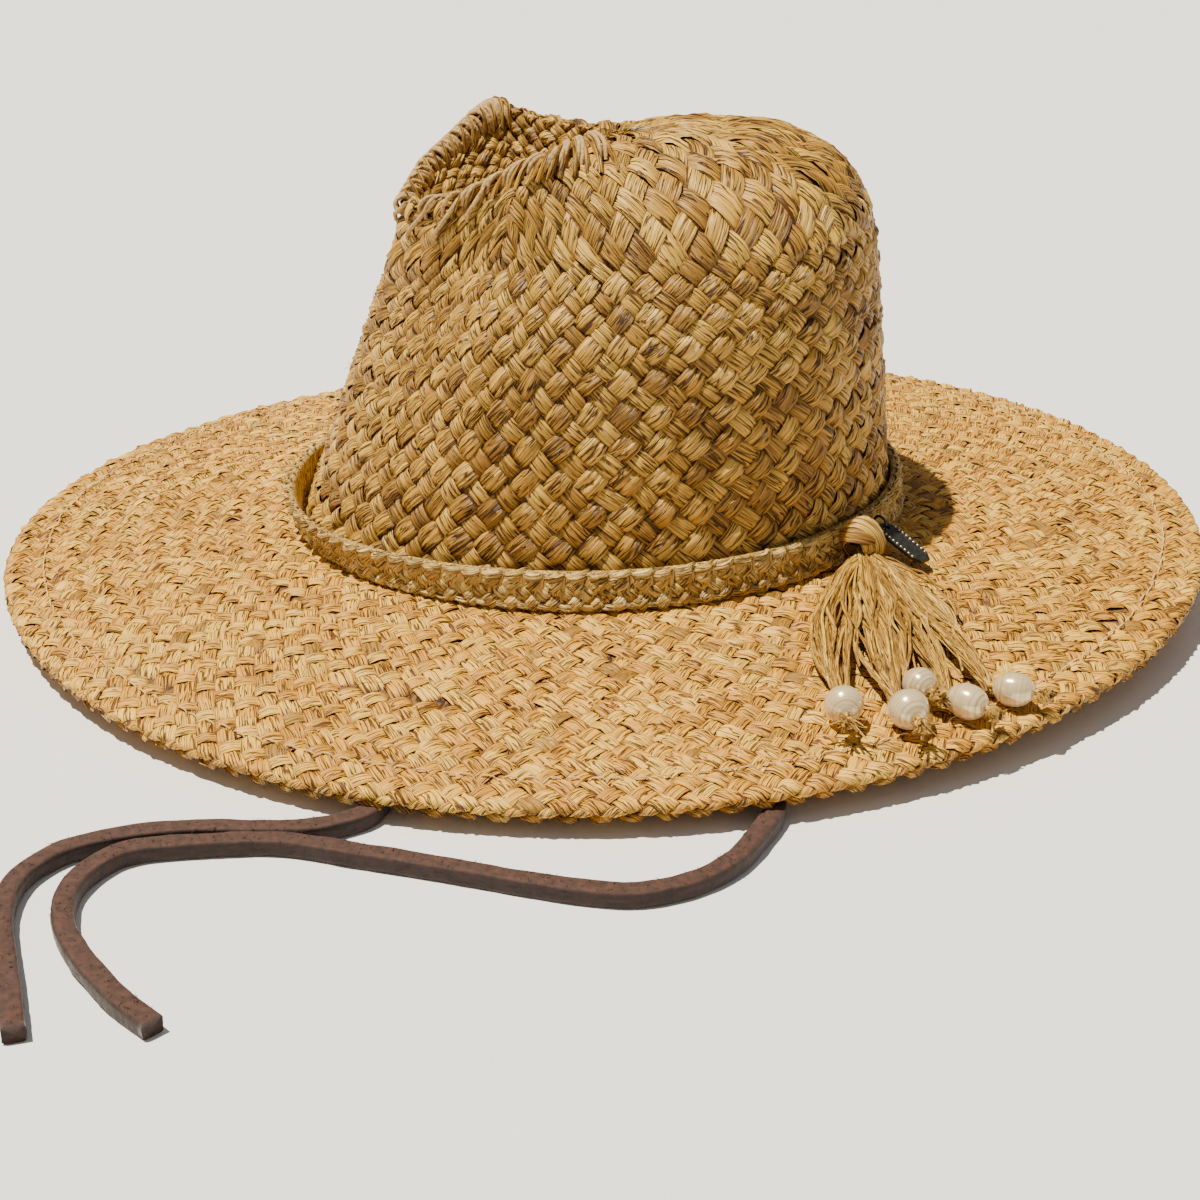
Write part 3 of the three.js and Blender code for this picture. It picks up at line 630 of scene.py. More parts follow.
# the core sheets are a backing whose dark colour is painted shade in the gaps of the weave
put(crown_piece("crown_weave", 1, 0.0, 6, 8, 31), CROWN_MAT, ["crown"])
put(crown_piece("crown_inside", -1, STRAW, 5, 2, 57), CROWN_MAT)
put(crown_core(), CORE_SHADE_MAT)
put(brim_piece("brim_weave", 1, 0.0, 5, 6, 71), BRIM_MAT, ["brim"])
put(brim_piece("brim_underside", -1, STRAW, 5, 2, 83), BRIM_MAT)
put(brim_core(), CORE_SHADE_MAT)


# Tubes and paths for the small pieces
def tubes(paths, wide, high, sides=5, up=(0, 0, 1), turn=None, taper=None):
    """Closed-section sweeps along paths (n, m, 3) in the hat frame; wide and high are half sizes."""
    n, m, _ = paths.shape
    along = unit(np.gradient(paths, axis=1))
    upv = np.broadcast_to(np.asarray(up, float), paths.shape)
    side = unit(np.cross(along, upv))
    top = np.cross(side, along)
    ang = (np.arange(sides) / sides * 2 * np.pi)[None, None, :]
    w = np.asarray(wide, float).reshape(-1, 1, 1) * np.ones((n, m, sides))
    h = np.asarray(high, float).reshape(-1, 1, 1) * np.ones((n, m, sides))
    if taper is not None:
        w, h = w * np.asarray(taper).reshape(1, m, 1), h * np.asarray(taper).reshape(1, m, 1)
    lx, ly = w * np.cos(ang), h * np.sin(ang)
    if turn is not None:
        t = np.asarray(turn).reshape(n, -1, 1) * np.ones((n, m, 1))
        lx, ly = lx * np.cos(t) - ly * np.sin(t), lx * np.sin(t) + ly * np.cos(t)
    P = paths[:, :, None, :] + side[:, :, None, :] * lx[..., None] + top[:, :, None, :] * ly[..., None]
    length = np.linalg.norm(np.diff(paths, axis=1), axis=-1).sum(1)
    u = np.broadcast_to(np.arange(sides) / sides, (n, m, sides))
    v = np.linspace(0, 1, m)[None, :, None] * length[:, None, None] * 0.18 + np.zeros((n, m, sides))
    return P, np.stack([u + np.arange(n)[:, None, None] * 1.37, v + np.arange(n)[:, None, None] * 0.71], -1)


def tube_piece(name, tube, uv, tones):
    return Pile().grids(settle(tube), uv, tones, wrap_u=True).build(name)


def smooth_path(a, b, c, d, m):
    """Cubic Bezier curves of m points, each control point given as (n, 3)."""
    t = np.linspace(0, 1, m)[None, :, None]
    a, b, c, d = (p[:, None, :] for p in (a, b, c, d))
    return a * (1 - t) ** 3 + 3 * b * t * (1 - t) ** 2 + 3 * c * t ** 2 * (1 - t) + d * t ** 3


# Stitched line inside the rim
def stitch_line():
    r = np.random.default_rng(9)
    count = 196
    th = (np.arange(count) + r.normal(0, 0.06, count)) * 2 * np.pi / count
    span = 2 * np.pi / count * 0.42
    t = np.linspace(-1, 1, 6)[None, :]
    a = th[:, None] + t * span
    rr = 0.876 + 0.004 * np.sin(5 * a) + r.normal(0, 0.003, (count, 1)) + t * 0.002
    P = brim_top(a, rr) + UP * (0.75 + 0.45 * (1 - t ** 2) - 0.9 * t ** 8)[..., None]
    tube, uv = tubes(P, 0.25, 0.22, 5)
    return tube_piece("brim_stitches", tube, uv, r.random(count) * 0.5 + 0.4)


put(stitch_line(), THREAD_MAT)


# Plaited band
BAND_ROUND, BAND_HIGH, BAND_THICK, BAND_FLARE, BAND_SPLAY = 96, 11.5, 2.4, 4.5, 2.2
BAND_CELL = 2 * math.pi * 90.0 / BAND_ROUND
FLARE_TURN, FLARE_WIDE = math.radians(75), math.radians(32)


def band_face(U, W):
    th = 2 * np.pi * U / BAND_ROUND
    up = W * BAND_CELL
    turn = np.arctan2(np.sin(th + FLARE_TURN), np.cos(th + FLARE_TURN))
    flare = np.exp(-((turn / FLARE_WIDE) ** 2))
    grow = 0.9 + 1.6 + flare * BAND_FLARE * up / BAND_HIGH + (1 - flare) * BAND_SPLAY * (1 - up / BAND_HIGH)
    x, y = base_xy(th, grow)
    return np.stack([x, y, BRIM_DROP + 0.6 + up + 0 * x], -1)


def band_piece():
    """Plaited rows between two slanted edges."""
    pile = Pile()
    cells = np.array([(a / 2, b / 2 + 0.36, a % 2) for b in range(0, 3) for a in range(2 * BAND_ROUND)
                      if (a + b) % 2 == 0])
    n = BAND_ROUND
    top = np.stack([np.arange(n) * 1.0, np.full(n, (BAND_HIGH - 1.3) / BAND_CELL)], -1)
    foot = np.stack([np.arange(n) * 1.0 + 0.5, np.full(n, 0.22)], -1)
    rows = [(cells[:, :2], directions(cells[:, 2]), 0.95, 0.3, 0.7, 0.95, cells[:, 2] == FAT_WAY, 101),
            (top, np.tile([[0.74, 0.13]], (n, 1)), 1.15, 0.38, 1.0, 0.62, np.ones(n), 102),
            (foot, np.tile([[0.72, -0.12]], (n, 1)), 0.8, 0.33, 0.8, 0.5, np.ones(n), 103)]
    for centre, along, lift, over, arch, width, fat, seed in rows:
        P, uv, tone = weave(band_face, centre, along, lift, 1.0, 6, 6, seed, over=over, arch=arch,
                            width=width, fat=fat)
        pile.grids(settle(P), uv, tone * 0.9)
    return bake_cells(pile.build("band_braid"), 6 * 6)


def band_core():
    """Solid strip behind the plait, from its section as steps outwards and heights."""
    section = ((-1.8, 0.6), (-1.8, BAND_HIGH - 0.6), (-1.2, BAND_HIGH + 0.2), (0.2, BAND_HIGH + 0.2),
               (0.4, BAND_HIGH - 1), (0.3, 0.6), (-1.8, 0.6))
    round_u = np.arange(200) * BAND_ROUND / 200
    rows = []
    for off, up in section:
        p = band_face(round_u, np.full(200, up / BAND_CELL))
        rows.append(p + unit(p * np.array([1, 1, 0])) * off)
    return sheet_piece("band_core", settle(np.array(rows)))


put(band_piece(), BAND_MAT, ["hatband"])
put(band_core(), BAND_MAT)

# Knot, tassel, pearls and end knots
KNOT_SIZE = 15
KNOT_ANGLE = math.atan2(66 / CROWN_LENGTH, 69 / CROWN_WIDTH)
kx, ky = base_xy(KNOT_ANGLE, 0.6 + 0.6 + BAND_THICK + 0.6 + KNOT_SIZE * 0.36)
KNOT = np.array([kx, ky, BRIM_DROP + 9.0])
ROOT = KNOT + np.array([1.5, 0.5, -4.0])  # where the tassel's strands leave the knot
PEARLS = [  # x, y as shares of the brim's length, turn in degrees, length, width
    (0.393, 0.079, -12, 10.5, 11.0), (0.406, 0.122, 8, 11.5, 11.5), (0.374, 0.142, 20, 10.0, 9.6),
    (0.4, 0.169, 35, 12.5, 10.2), (0.39, 0.208, 58, 12.0, 9.8)]


def ribbon_loop(centre, radii, normal, wide, m=40, wobble=0.06, seed=0, lift=0.0):
    """A strip wound once round an ellipsoid, as a (1, 5, m, 3) grid closed along its columns."""
    r = np.random.default_rng(seed)
    nrm = unit(np.asarray(normal, float))
    e1 = unit(np.cross(nrm, [0.3, 0.2, 0.9]))
    e2 = np.cross(nrm, e1)
    ph = np.arange(m) * 2 * np.pi / m
    b = np.linspace(-1, 1, 5)[:, None]
    off = (b * wide / 2 / np.mean(radii)) + wobble * np.sin(ph * 2 + r.random() * 6)[None, :]
    ring = np.cos(ph)[None, :, None] * e1 + np.sin(ph)[None, :, None] * e2
    d = ring * np.sqrt(np.maximum(0, 1 - off ** 2))[..., None] + off[..., None] * nrm
    bulge = 1 + lift + 0.05 * (1 - b ** 2)
    P = centre + d * np.asarray(radii) * bulge[..., None]
    uv = np.stack([np.broadcast_to(b * 0.5 + 0.5, off.shape) + seed * 1.3,
                   np.broadcast_to(ph * 0.6, off.shape)], -1)
    return P[None], uv[None]


def knot_wraps():
    """Strips wound round the knot, tilted at random about one direction."""
    r = np.random.default_rng(300)
    outward = unit(np.array([kx, ky, 0]))
    pile = Pile()
    for k in range(9):
        nrm = unit(np.array([-outward[1], outward[0], 0.5]) + r.normal(0, 0.6, 3))
        P, uv = ribbon_loop(KNOT, [4.6, 6.0, 6.2], nrm, 3.8 * (0.8 + 0.4 * r.random()), seed=300 + k,
                            lift=0.02 + 0.03 * k)
        pile.grids(settle(P), uv, np.array([r.random() * 0.9]), wrap_u=True)
    return pile.build("knot_wraps")


put(knot_wraps(), TASSEL_MAT, ["band_knot"])

pearl_info = []
for px, py, turn_deg, ln, wd in PEARLS:
    x, y = px * BRIM_LENGTH, py * BRIM_LENGTH
    c = np.array([x, y, float(brim_height(x, y)) + wd / 2 + 0.7])
    ax = np.array([math.cos(math.radians(turn_deg)), math.sin(math.radians(turn_deg)), 0.0])
    pearl_info.append((c, ax, ln, wd))


def strand_roots(r, n, spread):
    return np.broadcast_to(ROOT, (n, 3)) + r.normal(0, spread, (n, 3)) * [1, 1, 0.6]


def sideways(d):
    return unit(np.stack([-d[:, 1], d[:, 0], 0 * d[:, 0]], -1))


def tassel_piece():
    """Strands from the knot to each pearl, and shorter ones that end before the pearls."""
    r = np.random.default_rng(42)
    paths = []
    for (c, ax, ln, wd), bias in zip(pearl_info, (-10.0, -4.0, 0.0, 3.0, 4.0)):
        n = 25
        start = strand_roots(r, n, 1.4)
        end = (c - ax * (ln / 2 + 0.6)) + r.normal(0, 0.7, (n, 3))
        d = end - start
        lat = sideways(d)
        s1 = bias + r.normal(0, 4.0, (n, 1))
        s2 = s1 * 0.8 + r.normal(0, 2.6, (n, 1))
        c1 = start + d * 0.3 + lat * s1 + UP * r.uniform(0, 3, (n, 1))
        c2 = start + d * 0.72 + lat * s2 + UP * r.uniform(0, 3, (n, 1))
        paths.append(smooth_path(start, c1, c2, end, 26))
    n = 26
    pick = r.integers(0, 5, n)
    ends = np.array([pearl_info[k][0] for k in pick])
    start = strand_roots(r, n, 1.6)
    d = (ends - start) * r.uniform(0.45, 0.85, (n, 1))
    lat = sideways(d)
    s1 = r.normal(0, 7.0, (n, 1))
    paths.append(smooth_path(start, start + d * 0.35 + lat * s1, start + d * 0.7 + lat * s1 * 1.1,
                             start + d + lat * s1 * 0.8, 26))
    P = np.concatenate(paths)
    n, m, _ = P.shape
    t = np.linspace(0, 1, m)[None, :]
    env = np.sin(np.pi * t)
    for k, amp in ((2, 1.1), (4, 0.8), (7, 0.4)):
        for axis in (0, 1):
            P[..., axis] += amp * r.normal(0, 1, (n, 1)) * np.sin(k * np.pi * t + r.random((n, 1)) * 6) * env
    ground = brim_height(P[..., 0], P[..., 1])
    layer = r.uniform(0.9, 5.0, (n, 1)) * (0.25 + env)
    P[..., 2] = np.maximum(P[..., 2], ground + 1.5)
    lid = ground + 2.0 + layer * 1.6 + (1 - t) * 8
    P[..., 2] = np.where(t > 0.12, np.minimum(P[..., 2], lid), P[..., 2])
    twist = r.random((n, 1)) * 6 + t * r.normal(0, 3, (n, 1))
    tube, uv = tubes(P, r.uniform(0.4, 0.95, n), r.uniform(0.18, 0.34, n), 5, turn=twist)
    return tube_piece("tassel_strands", tube, uv, r.random(n) * 0.9)


put(tassel_piece(), TASSEL_MAT, ["tassel"])


def pearl(k, c, ax, ln, wd):
    """A ringed pearl, a little off round, whose axis is ax."""
    tt = np.linspace(-1.45, 1.45, 40)[:, None]
    ph = np.arange(40)[None, :] * 2 * np.pi / 40
    ringed = 1 + 0.012 * np.sin(tt * 9 + 1.3 * k) * np.exp(-((tt + 0.5) / 0.5) ** 2)
    ringed = ringed + 0.01 * np.sin(ph * 2 + k)
    e1 = np.cross([0, 0, 1.0], ax)
    e2 = np.cross(ax, e1)
    skew = 1 + 0.05 * np.sin(ph + k) * np.cos(tt)
    ring = e1 * np.cos(ph)[..., None] + e2 * np.sin(ph)[..., None]
    P = c + ax * (np.sin(tt) * ln / 2)[..., None] + ring * (np.cos(tt) * wd / 2 * ringed * skew)[..., None]
    uv = np.stack([ph / 6.283 + 0 * tt, tt * 0.35 + k + 0 * ph], -1)
    pile = Pile().grids(settle(P[None])[:, ::-1], uv[None][:, ::-1], np.array([0.5]), wrap_u=True)
    put(pile.build(f"pearl_nacre_{k + 1}"), NACRE, [f"pearl_{k + 1}"])


def raffia_end(k, c, ax, ln):
    """The knot past a pearl, its frayed fringe and the raffia that runs through the pearl."""
    r = np.random.default_rng(60 + k)
    pile = Pile()
    kc = c + ax * (ln / 2 + 2.6)
    kc[2] = max(c[2] - 1, float(brim_height(kc[0], kc[1])) + 2.9)
    for j in range(5):
        P, uv = ribbon_loop(kc, np.array([2.1, 2.1, 2.0]), r.normal(0, 1, 3), 1.5, m=18,
                            seed=400 + 7 * k + j, lift=0.03 * j)
        pile.grids(settle(P), uv, np.array([r.random() * 0.9]), wrap_u=True)
    n = 30
    along = ax * 0.7 + r.normal(0, 0.7, (n, 3)) * [1, 1, 0.5]
    reach = r.uniform(1.6, 4.4, (n, 1))
    start = kc + r.normal(0, 0.6, (n, 3))
    path = smooth_path(start, start + along * reach * 0.4 + [0, 0, 0.8], start + along * reach * 0.75,
                       start + along * reach + r.normal(0, 0.8, (n, 3)), 9)
    off_rim = np.hypot(path[..., 0] / (BRIM_WIDTH / 2), path[..., 1] / (BRIM_LENGTH / 2)) / 0.985
    path[..., :2] /= np.maximum(1, off_rim)[..., None]
    path[..., 2] = np.maximum(path[..., 2], brim_height(path[..., 0], path[..., 1]) + 1.5)
    tube, uv = tubes(path, r.uniform(0.25, 0.5, n), r.uniform(0.12, 0.22, n), 4)
    pile.grids(settle(tube), uv, r.random(n) * 0.9, wrap_u=True)
    stem = (c - ax * (ln / 2 + 1.5))[None, None] + (ax * np.linspace(0, ln + 3.6, 6)[:, None])[None]
    tube, uv = tubes(stem, 0.85, 0.8, 6)
    pile.grids(settle(tube), uv, np.array([0.5]), wrap_u=True)
    put(pile.build(f"raffia_end_{k + 1}"), TASSEL_MAT, [f"end_knot_{k + 1}"])


for k, (c, ax, ln, wd) in enumerate(pearl_info):
    pearl(k, c, ax, ln, wd)
    raffia_end(k, c, ax, ln)

# Metal tag and ring, which stay as the CAD has them
BEAD_RADIUS, BEAD_ROWS_AT, BEAD_SPAN, BEAD_COUNT = 0.52, 0.78, 0.68, 9
TAG_HALF_THICK = 0.55


def tag_beads():
    """Rows of small beads along the long edges of both faces of the tag, placed from its solid."""
    corners = np.array([v.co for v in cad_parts["tag"].data.vertices], float) * 1000.0
    middle = (corners.min(0) + corners.max(0)) / 2
    _, _, (long, wide, thin) = np.linalg.svd(corners - corners.mean(0), full_matrices=False)
    half_long = np.abs((corners - middle) @ long).max()
    half_wide = np.abs((corners - middle) @ wide).max()
    polar, turn = np.linspace(0.05, math.pi - 0.05, 6)[:, None], (np.arange(8) * math.pi / 4)[None, :]
    ball = np.stack([np.sin(polar) * np.cos(turn), np.sin(polar) * np.sin(turn),
                     np.cos(polar) + 0 * turn], -1)
    pile = Pile()
    for face in (-1, 1):
        for side in (-1, 1):
            for step in np.linspace(-BEAD_SPAN, BEAD_SPAN, BEAD_COUNT):
                spot = middle + long * half_long * step + wide * half_wide * BEAD_ROWS_AT * side \
                    + thin * TAG_HALF_THICK * face
                pile.grids((ball * BEAD_RADIUS + spot)[None] * 0.001, np.zeros((1, 6, 8, 2)), np.array([0.5]),
                           wrap_u=True)
    return pile.build("tag_edge")


for name in ("tag", "tag_ring"):
    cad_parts[name].data.materials.clear()
    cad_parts[name].data.materials.append(METAL)
put(tag_beads(), EDGE_METAL)


# Stitches and bundles over the crest
CREST_HEART = np.array([0, -20, 95.0])


def crest_point(theta, v):
    """Point and outward direction of the crown's skin."""
    e = 0.02
    P = crown_skin(theta, v)
    A = crown_skin(theta + e, v) - crown_skin(theta - e, v)
    B = crown_skin(theta, np.minimum(v + e, 1.97)) - crown_skin(theta, v - e)
    return P, unit(np.cross(A, B))


def eased(P, t, times, push):
    """A path smoothed, then pushed out from the crown's heart at its middle."""
    for _ in range(times):
        P[1:-1] = (P[:-2] + P[1:-1] * 2 + P[2:]) / 4
    return P + unit(P - CREST_HEART) * (push * (1 - t ** 2))[:, None]


def whip():
    """Stitches from jobs of an angle, a slant and a size."""
    r = np.random.default_rng(77)
    deg = math.radians
    # far crest, dense: from the front point to just past the far corner
    jobs = [(deg(t), deg(-1.5), 1.0) for t in np.linspace(-91, -146, 30)]
    # near crest, mostly in pairs, smaller away from the front
    for start, n, step in ((-80, 2, 2.2), (-72, 1, 2.0), (-65, 2, 2.0), (-57, 2, 2.0), (-49, 2, 2.4),
                           (-40, 2, 2.2), (-31, 2, 2.6), (-21, 2, 2.8), (-11, 2, 3.0), (0, 2, 3.2)):
        jobs += [(deg(start + k * step), deg(2.5), 1.0 - 0.45 * (start + 80) / 80) for k in range(n)]
    paths = []
    for theta, slant, size in jobs:
        theta += r.normal(0, 0.008)
        t = np.linspace(-1, 1, 15)
        down = 0.034 * size * (1 + r.normal(0, 0.15))
        inner = 0.075 * size
        v = np.where(t < 0, 1 + t * down, 1 + t * inner)
        th = theta + slant * t
        P, N = crest_point(th, v)
        lift = 2.7 * (1 - np.abs(t) ** 5) - 0.5
        paths.append(eased(P + N * lift[:, None], t, 3, 1.1))
    # a few long straight stitches at the front point
    for off, reach in ((-0.30, 8.0), (-0.16, 10.0), (0.02, 11.0), (0.2, 10.0), (0.4, 8.0)):
        P, N = crest_point(deg(-86) + off + np.linspace(0.15, 0, 15), np.linspace(1.01, 1 - reach / 105, 15))
        t = np.linspace(-1, 1, 15)
        paths.append(P + N * (2.3 * (1 - t ** 6) + 0.1)[:, None])
    P = np.array(paths)
    tube, uv = tubes(P, 0.78, 0.7, 7, up=(0.2, 0.9, 0.1))
    return tube_piece("whip_stitches", tube, uv, r.random(len(P)))


put(whip(), TWINE_MAT)


def crest_wraps():
    """Fat bundles that cross the crest and round it off."""
    r = np.random.default_rng(78)
    degs = np.concatenate([np.arange(-92, 8, 5.6), np.arange(-96, -150, -4.6)])
    paths = []
    for d in degs:
        t = np.linspace(-1, 1, 13)
        v = np.where(t < 0, 1 + t * 0.042, 1 + t * 0.085)
        theta = math.radians(d + r.normal(0, 0.5)) + math.radians(2.2) * t
        P, N = crest_point(theta, v)
        paths.append(eased(P + N * (0.7 - 1.2 * np.abs(t[:, None]) ** 4), t, 4, 0.7))
    P = np.array(paths)
    taper = 0.8 + 0.2 * (1 - np.linspace(-1, 1, 13) ** 2)
    tube, uv = tubes(P, 2.9 * (1 + r.normal(0, 0.12, len(P))), 0.9, 11, up=(0.2, 0.9, 0.1), taper=taper)
    return tube_piece("crest_wraps", tube, uv, r.random(len(P)) * 0.9)


put(crest_wraps(), CROWN_MAT)


# Loose fibres
def fibres():
    """Fine fibres that stand off the brim and the crown."""
    r = np.random.default_rng(88)
    n = 46
    th, t = r.uniform(0, 2 * np.pi, n), r.uniform(0.05, 0.9, n)
    P0 = brim_top(th, t)
    n2 = 34
    th2, v2 = r.uniform(0, 2 * np.pi, n2), r.uniform(0.1, 0.85, n2)
    Q0, N2 = crest_point(th2, v2)
    start = np.concatenate([P0 + [0, 0, 1.0], Q0 + N2 * 0.8])
    nrm = np.concatenate([np.tile([0, 0, 1.0], (n, 1)), N2])
    k = n + n2
    d = r.normal(0, 1, (k, 3))
    d = unit(d - (d * nrm).sum(1, keepdims=True) * nrm)
    reach = r.uniform(4, 13, (k, 1))
    bend = unit(np.cross(d, nrm)) * r.normal(0, 0.5, (k, 1))
    path = smooth_path(start, start + d * reach * 0.3 + nrm * 1.2,
                       start + d * reach * 0.7 + bend * reach * 0.5 + nrm * 1.6,
                       start + d * reach + bend * reach + nrm * r.uniform(0.3, 2.0, (k, 1)), 12)
    tube, uv = tubes(path, 0.13, 0.09, 4, taper=np.linspace(1, 0.5, 12))
    return tube_piece("loose_fibres", tube, uv, r.random(k) * 0.9)


put(fibres(), TASSEL_MAT)

# Leather laces
LACE, LACE_DRAWN = 5.0, 5.2  # thickness of the solid, and about the mean of the drawn one
LACE_HALF_WIDE, LACE_HALF_HIGH, LACE_ROUNDING = 2.95, 2.3, 0.75
# shares of the brim's length, from under the hat to the free end
LEFT_ROUTE = [
    (0.2, 0.03), (0.25, 0.03), (0.3, 0.028), (0.35, 0.026), (0.4, 0.022), (0.4526, 0.0147),
    (0.4856, -0.008), (0.5135, -0.0335), (0.5299, -0.0637), (0.5353, -0.0982), (0.5296, -0.1232),
    (0.5056, -0.1708), (0.4775, -0.2184), (0.4502, -0.2673), (0.4235, -0.3172), (0.413, -0.3691),
    (0.4114, -0.4212), (0.4245, -0.4409), (0.4412, -0.4539), (0.4668, -0.4624), (0.4955, -0.4627),
    (0.5251, -0.4553), (0.5546, -0.444), (0.5837, -0.4302), (0.6106, -0.4139)]
RIGHT_ROUTE = [
    (-0.19, -0.02), (-0.12, -0.05), (-0.02, -0.095), (0.08, -0.135), (0.18, -0.172), (0.28, -0.207),
    (0.35, -0.236), (0.3964, -0.2569), (0.407, -0.279), (0.4085, -0.3036), (0.4025, -0.3363),
    (0.394, -0.3686), (0.391, -0.4013), (0.393, -0.4341), (0.402, -0.463), (0.4235, -0.487),
    (0.452, -0.4985), (0.482, -0.5015), (0.5098, -0.5), (0.5531, -0.4967), (0.5994, -0.4934)]


def centripetal(points, per=10):
    """A smooth curve through the points, with per places between each two."""
    p = np.asarray(points, float)
    p = np.concatenate([[2 * p[0] - p[1]], p, [2 * p[-1] - p[-2]]])
    out = []
    for i in range(1, len(p) - 2):
        a, b, c, d = p[i - 1:i + 3]
        t0, t1 = 0.0, np.linalg.norm(b - a) ** 0.5
        t2 = t1 + np.linalg.norm(c - b) ** 0.5
        t3 = t2 + np.linalg.norm(d - c) ** 0.5
        t = np.linspace(t1, t2, per, endpoint=False)[:, None]
        A1 = (t1 - t) / (t1 - t0) * a + (t - t0) / (t1 - t0) * b
        A2 = (t2 - t) / (t2 - t1) * b + (t - t1) / (t2 - t1) * c
        A3 = (t3 - t) / (t3 - t2) * c + (t - t2) / (t3 - t2) * d
        B1 = (t2 - t) / (t2 - t0) * A1 + (t - t0) / (t2 - t0) * A2
        B2 = (t3 - t) / (t3 - t1) * A2 + (t - t1) / (t3 - t1) * A3
        out.append((t2 - t) / (t2 - t1) * B1 + (t - t1) / (t2 - t1) * B2)
    out.append(p[-2:-1])
    return np.concatenate(out)


def resample(p, step):
    """The same curve in even steps, and its length."""
    s = np.concatenate([[0], np.cumsum(np.linalg.norm(np.diff(p, axis=0), axis=1))])
    k = max(2, int(round(s[-1] / step)))
    t = np.linspace(0, s[-1], k + 1)
    return np.stack([np.interp(t, s, p[:, j]) for j in range(3)], -1), s[-1]


def lace_line(tab_node, side, route):
    """The lace's middle line, from its tab down to the surface and along its route, and its length."""
    lo, hi = (np.array(corner) * 1000 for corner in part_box(tab_node))
    start = (lo + hi) / 2
    low = LACE / 2 + 0.05
    top = lo[2] - 0.3
    pts = [(start[0], start[1], top), (start[0], start[1], top - (top - low) * 0.45),
           (start[0] - side * 3, start[1], low + (top - low) * 0.16)]
    pts += [(x * BRIM_LENGTH, y * BRIM_LENGTH, low) for x, y in route]
    line = centripetal(pts)
    line[:, 2] = np.maximum(line[:, 2], low)
    return resample(line, 2.0)


def lace_section():
    """Rounded rectangle, with more points on its wide faces."""
    w, h = LACE_HALF_WIDE - LACE_ROUNDING, LACE_HALF_HIGH - LACE_ROUNDING
    corners = []
    for cx, cy, a0 in ((w, h, 0), (-w, h, 90), (-w, -h, 180), (w, -h, 270)):
        for q in np.radians([a0, a0 + 45, a0 + 90]):
            corners.append(np.array([cx + LACE_ROUNDING * math.cos(q), cy + LACE_ROUNDING * math.sin(q)]))
    section = []
    for a, b in zip(corners, corners[1:] + corners[:1]):
        section.append(a)
        if np.linalg.norm(b - a) > 2:
            section += [a + (b - a) * f for f in (0.25, 0.5, 0.75)]
    return np.array(section)


def lace_frames(line):
    """Directions along, across and up from the line, steady where it stands upright."""
    along = unit(np.gradient(line, axis=0))
    flat = unit(np.cross(along, [0, 0, 1.0]))
    good = np.abs(along[:, 2]) <= 0.85
    for j in range(3):
        flat[:, j] = np.interp(np.arange(len(line)), np.where(good)[0], flat[good, j])
    flat = unit(flat)
    return along, flat, np.cross(flat, along)


def lace_body(name, line, flat, upv, r, seed):
    section = lace_section()
    n, k = len(line), len(section)
    wob = r.normal(0, 0.09, (n, k))
    wob = (wob + np.roll(wob, 1, 0) + np.roll(wob, -1, 0)) / 1.8
    scale = 1 + 0.04 * np.sin(np.linspace(0, 40, n) + seed)[:, None]
    P = line[:, None] + flat[:, None] * (section[None, :, :1] * scale[..., None]) \
        + upv[:, None] * section[None, :, 1:]
    P = P + unit(P - line[:, None]) * wob[..., None]
    P[..., 2] = np.maximum(P[..., 2], 0.12)
    # painted shade: the sides get the darker suede colour, the wide faces the lighter one
    face = np.clip((np.abs(section[:, 1]) - LACE_HALF_HIGH + 0.5) / 0.5, 0, 1)
    v = np.concatenate([P.reshape(-1, 3), [line[0]], [line[-1]]]) * 0.001
    i = np.arange(n * k).reshape(n, k)
    j = np.concatenate([i, i[:, :1]], 1)
    q = np.stack([j[:-1, :-1], j[1:, :-1], j[1:, 1:], j[:-1, 1:]], -1).reshape(-1, 4)
    faces = [tuple(f) for f in q]
    faces += [(n * k, int(b), int(a)) for a, b in zip(i[0], np.roll(i[0], -1))]
    faces += [(n * k + 1, int(a), int(b)) for a, b in zip(i[-1], np.roll(i[-1], -1))]
    mesh = bpy.data.meshes.new(name)
    mesh.from_pydata([tuple(p) for p in v], [], faces)
    mesh.update()
    att = mesh.attributes.new("tone", "FLOAT", "POINT")
    att.data.foreach_set("value", np.concatenate([np.tile(face, n), [0, 0]]).astype(np.float32))
    mesh.polygons.foreach_set("use_smooth", np.full(len(mesh.polygons), True))
    return placed(name, mesh)


def lace_fuzz(name, line, along, flat, upv, r):
    """Fuzz on the suede face."""
    m = 420
    at = r.integers(3, len(line) - 1, m)
    base = line[at] + flat[at] * r.uniform(-2.7, 2.7, (m, 1)) + upv[at] * 2.25
    tip = base + (flat[at] * r.normal(0, 0.6, (m, 1)) + upv[at] * r.uniform(0.3, 0.7, (m, 1))
                  + along[at] * r.normal(0, 0.6, (m, 1)))
    path = smooth_path(base, base * 0.7 + tip * 0.3, base * 0.3 + tip * 0.7, tip, 4)
    tube, uv = tubes(path, 0.07, 0.07, 3)
    return Pile().grids(tube * 0.001, uv, np.full(m, 0.9), wrap_u=True).build(name + "_fuzz")


def lace(name, solid, tab_node, side, route, seed):
    line, length = lace_line(tab_node, side, route)
    along, flat, upv = lace_frames(line)
    r = np.random.default_rng(seed)
    obj = lace_body(name, line, flat, upv, r, seed)
    fuzz = lace_fuzz(name, line, along, flat, upv, r)
    put(fuzz, LEATHER)
    put(obj, LEATHER, [solid])


def squarish(x):
    return np.sign(x) * np.abs(x) ** 0.35


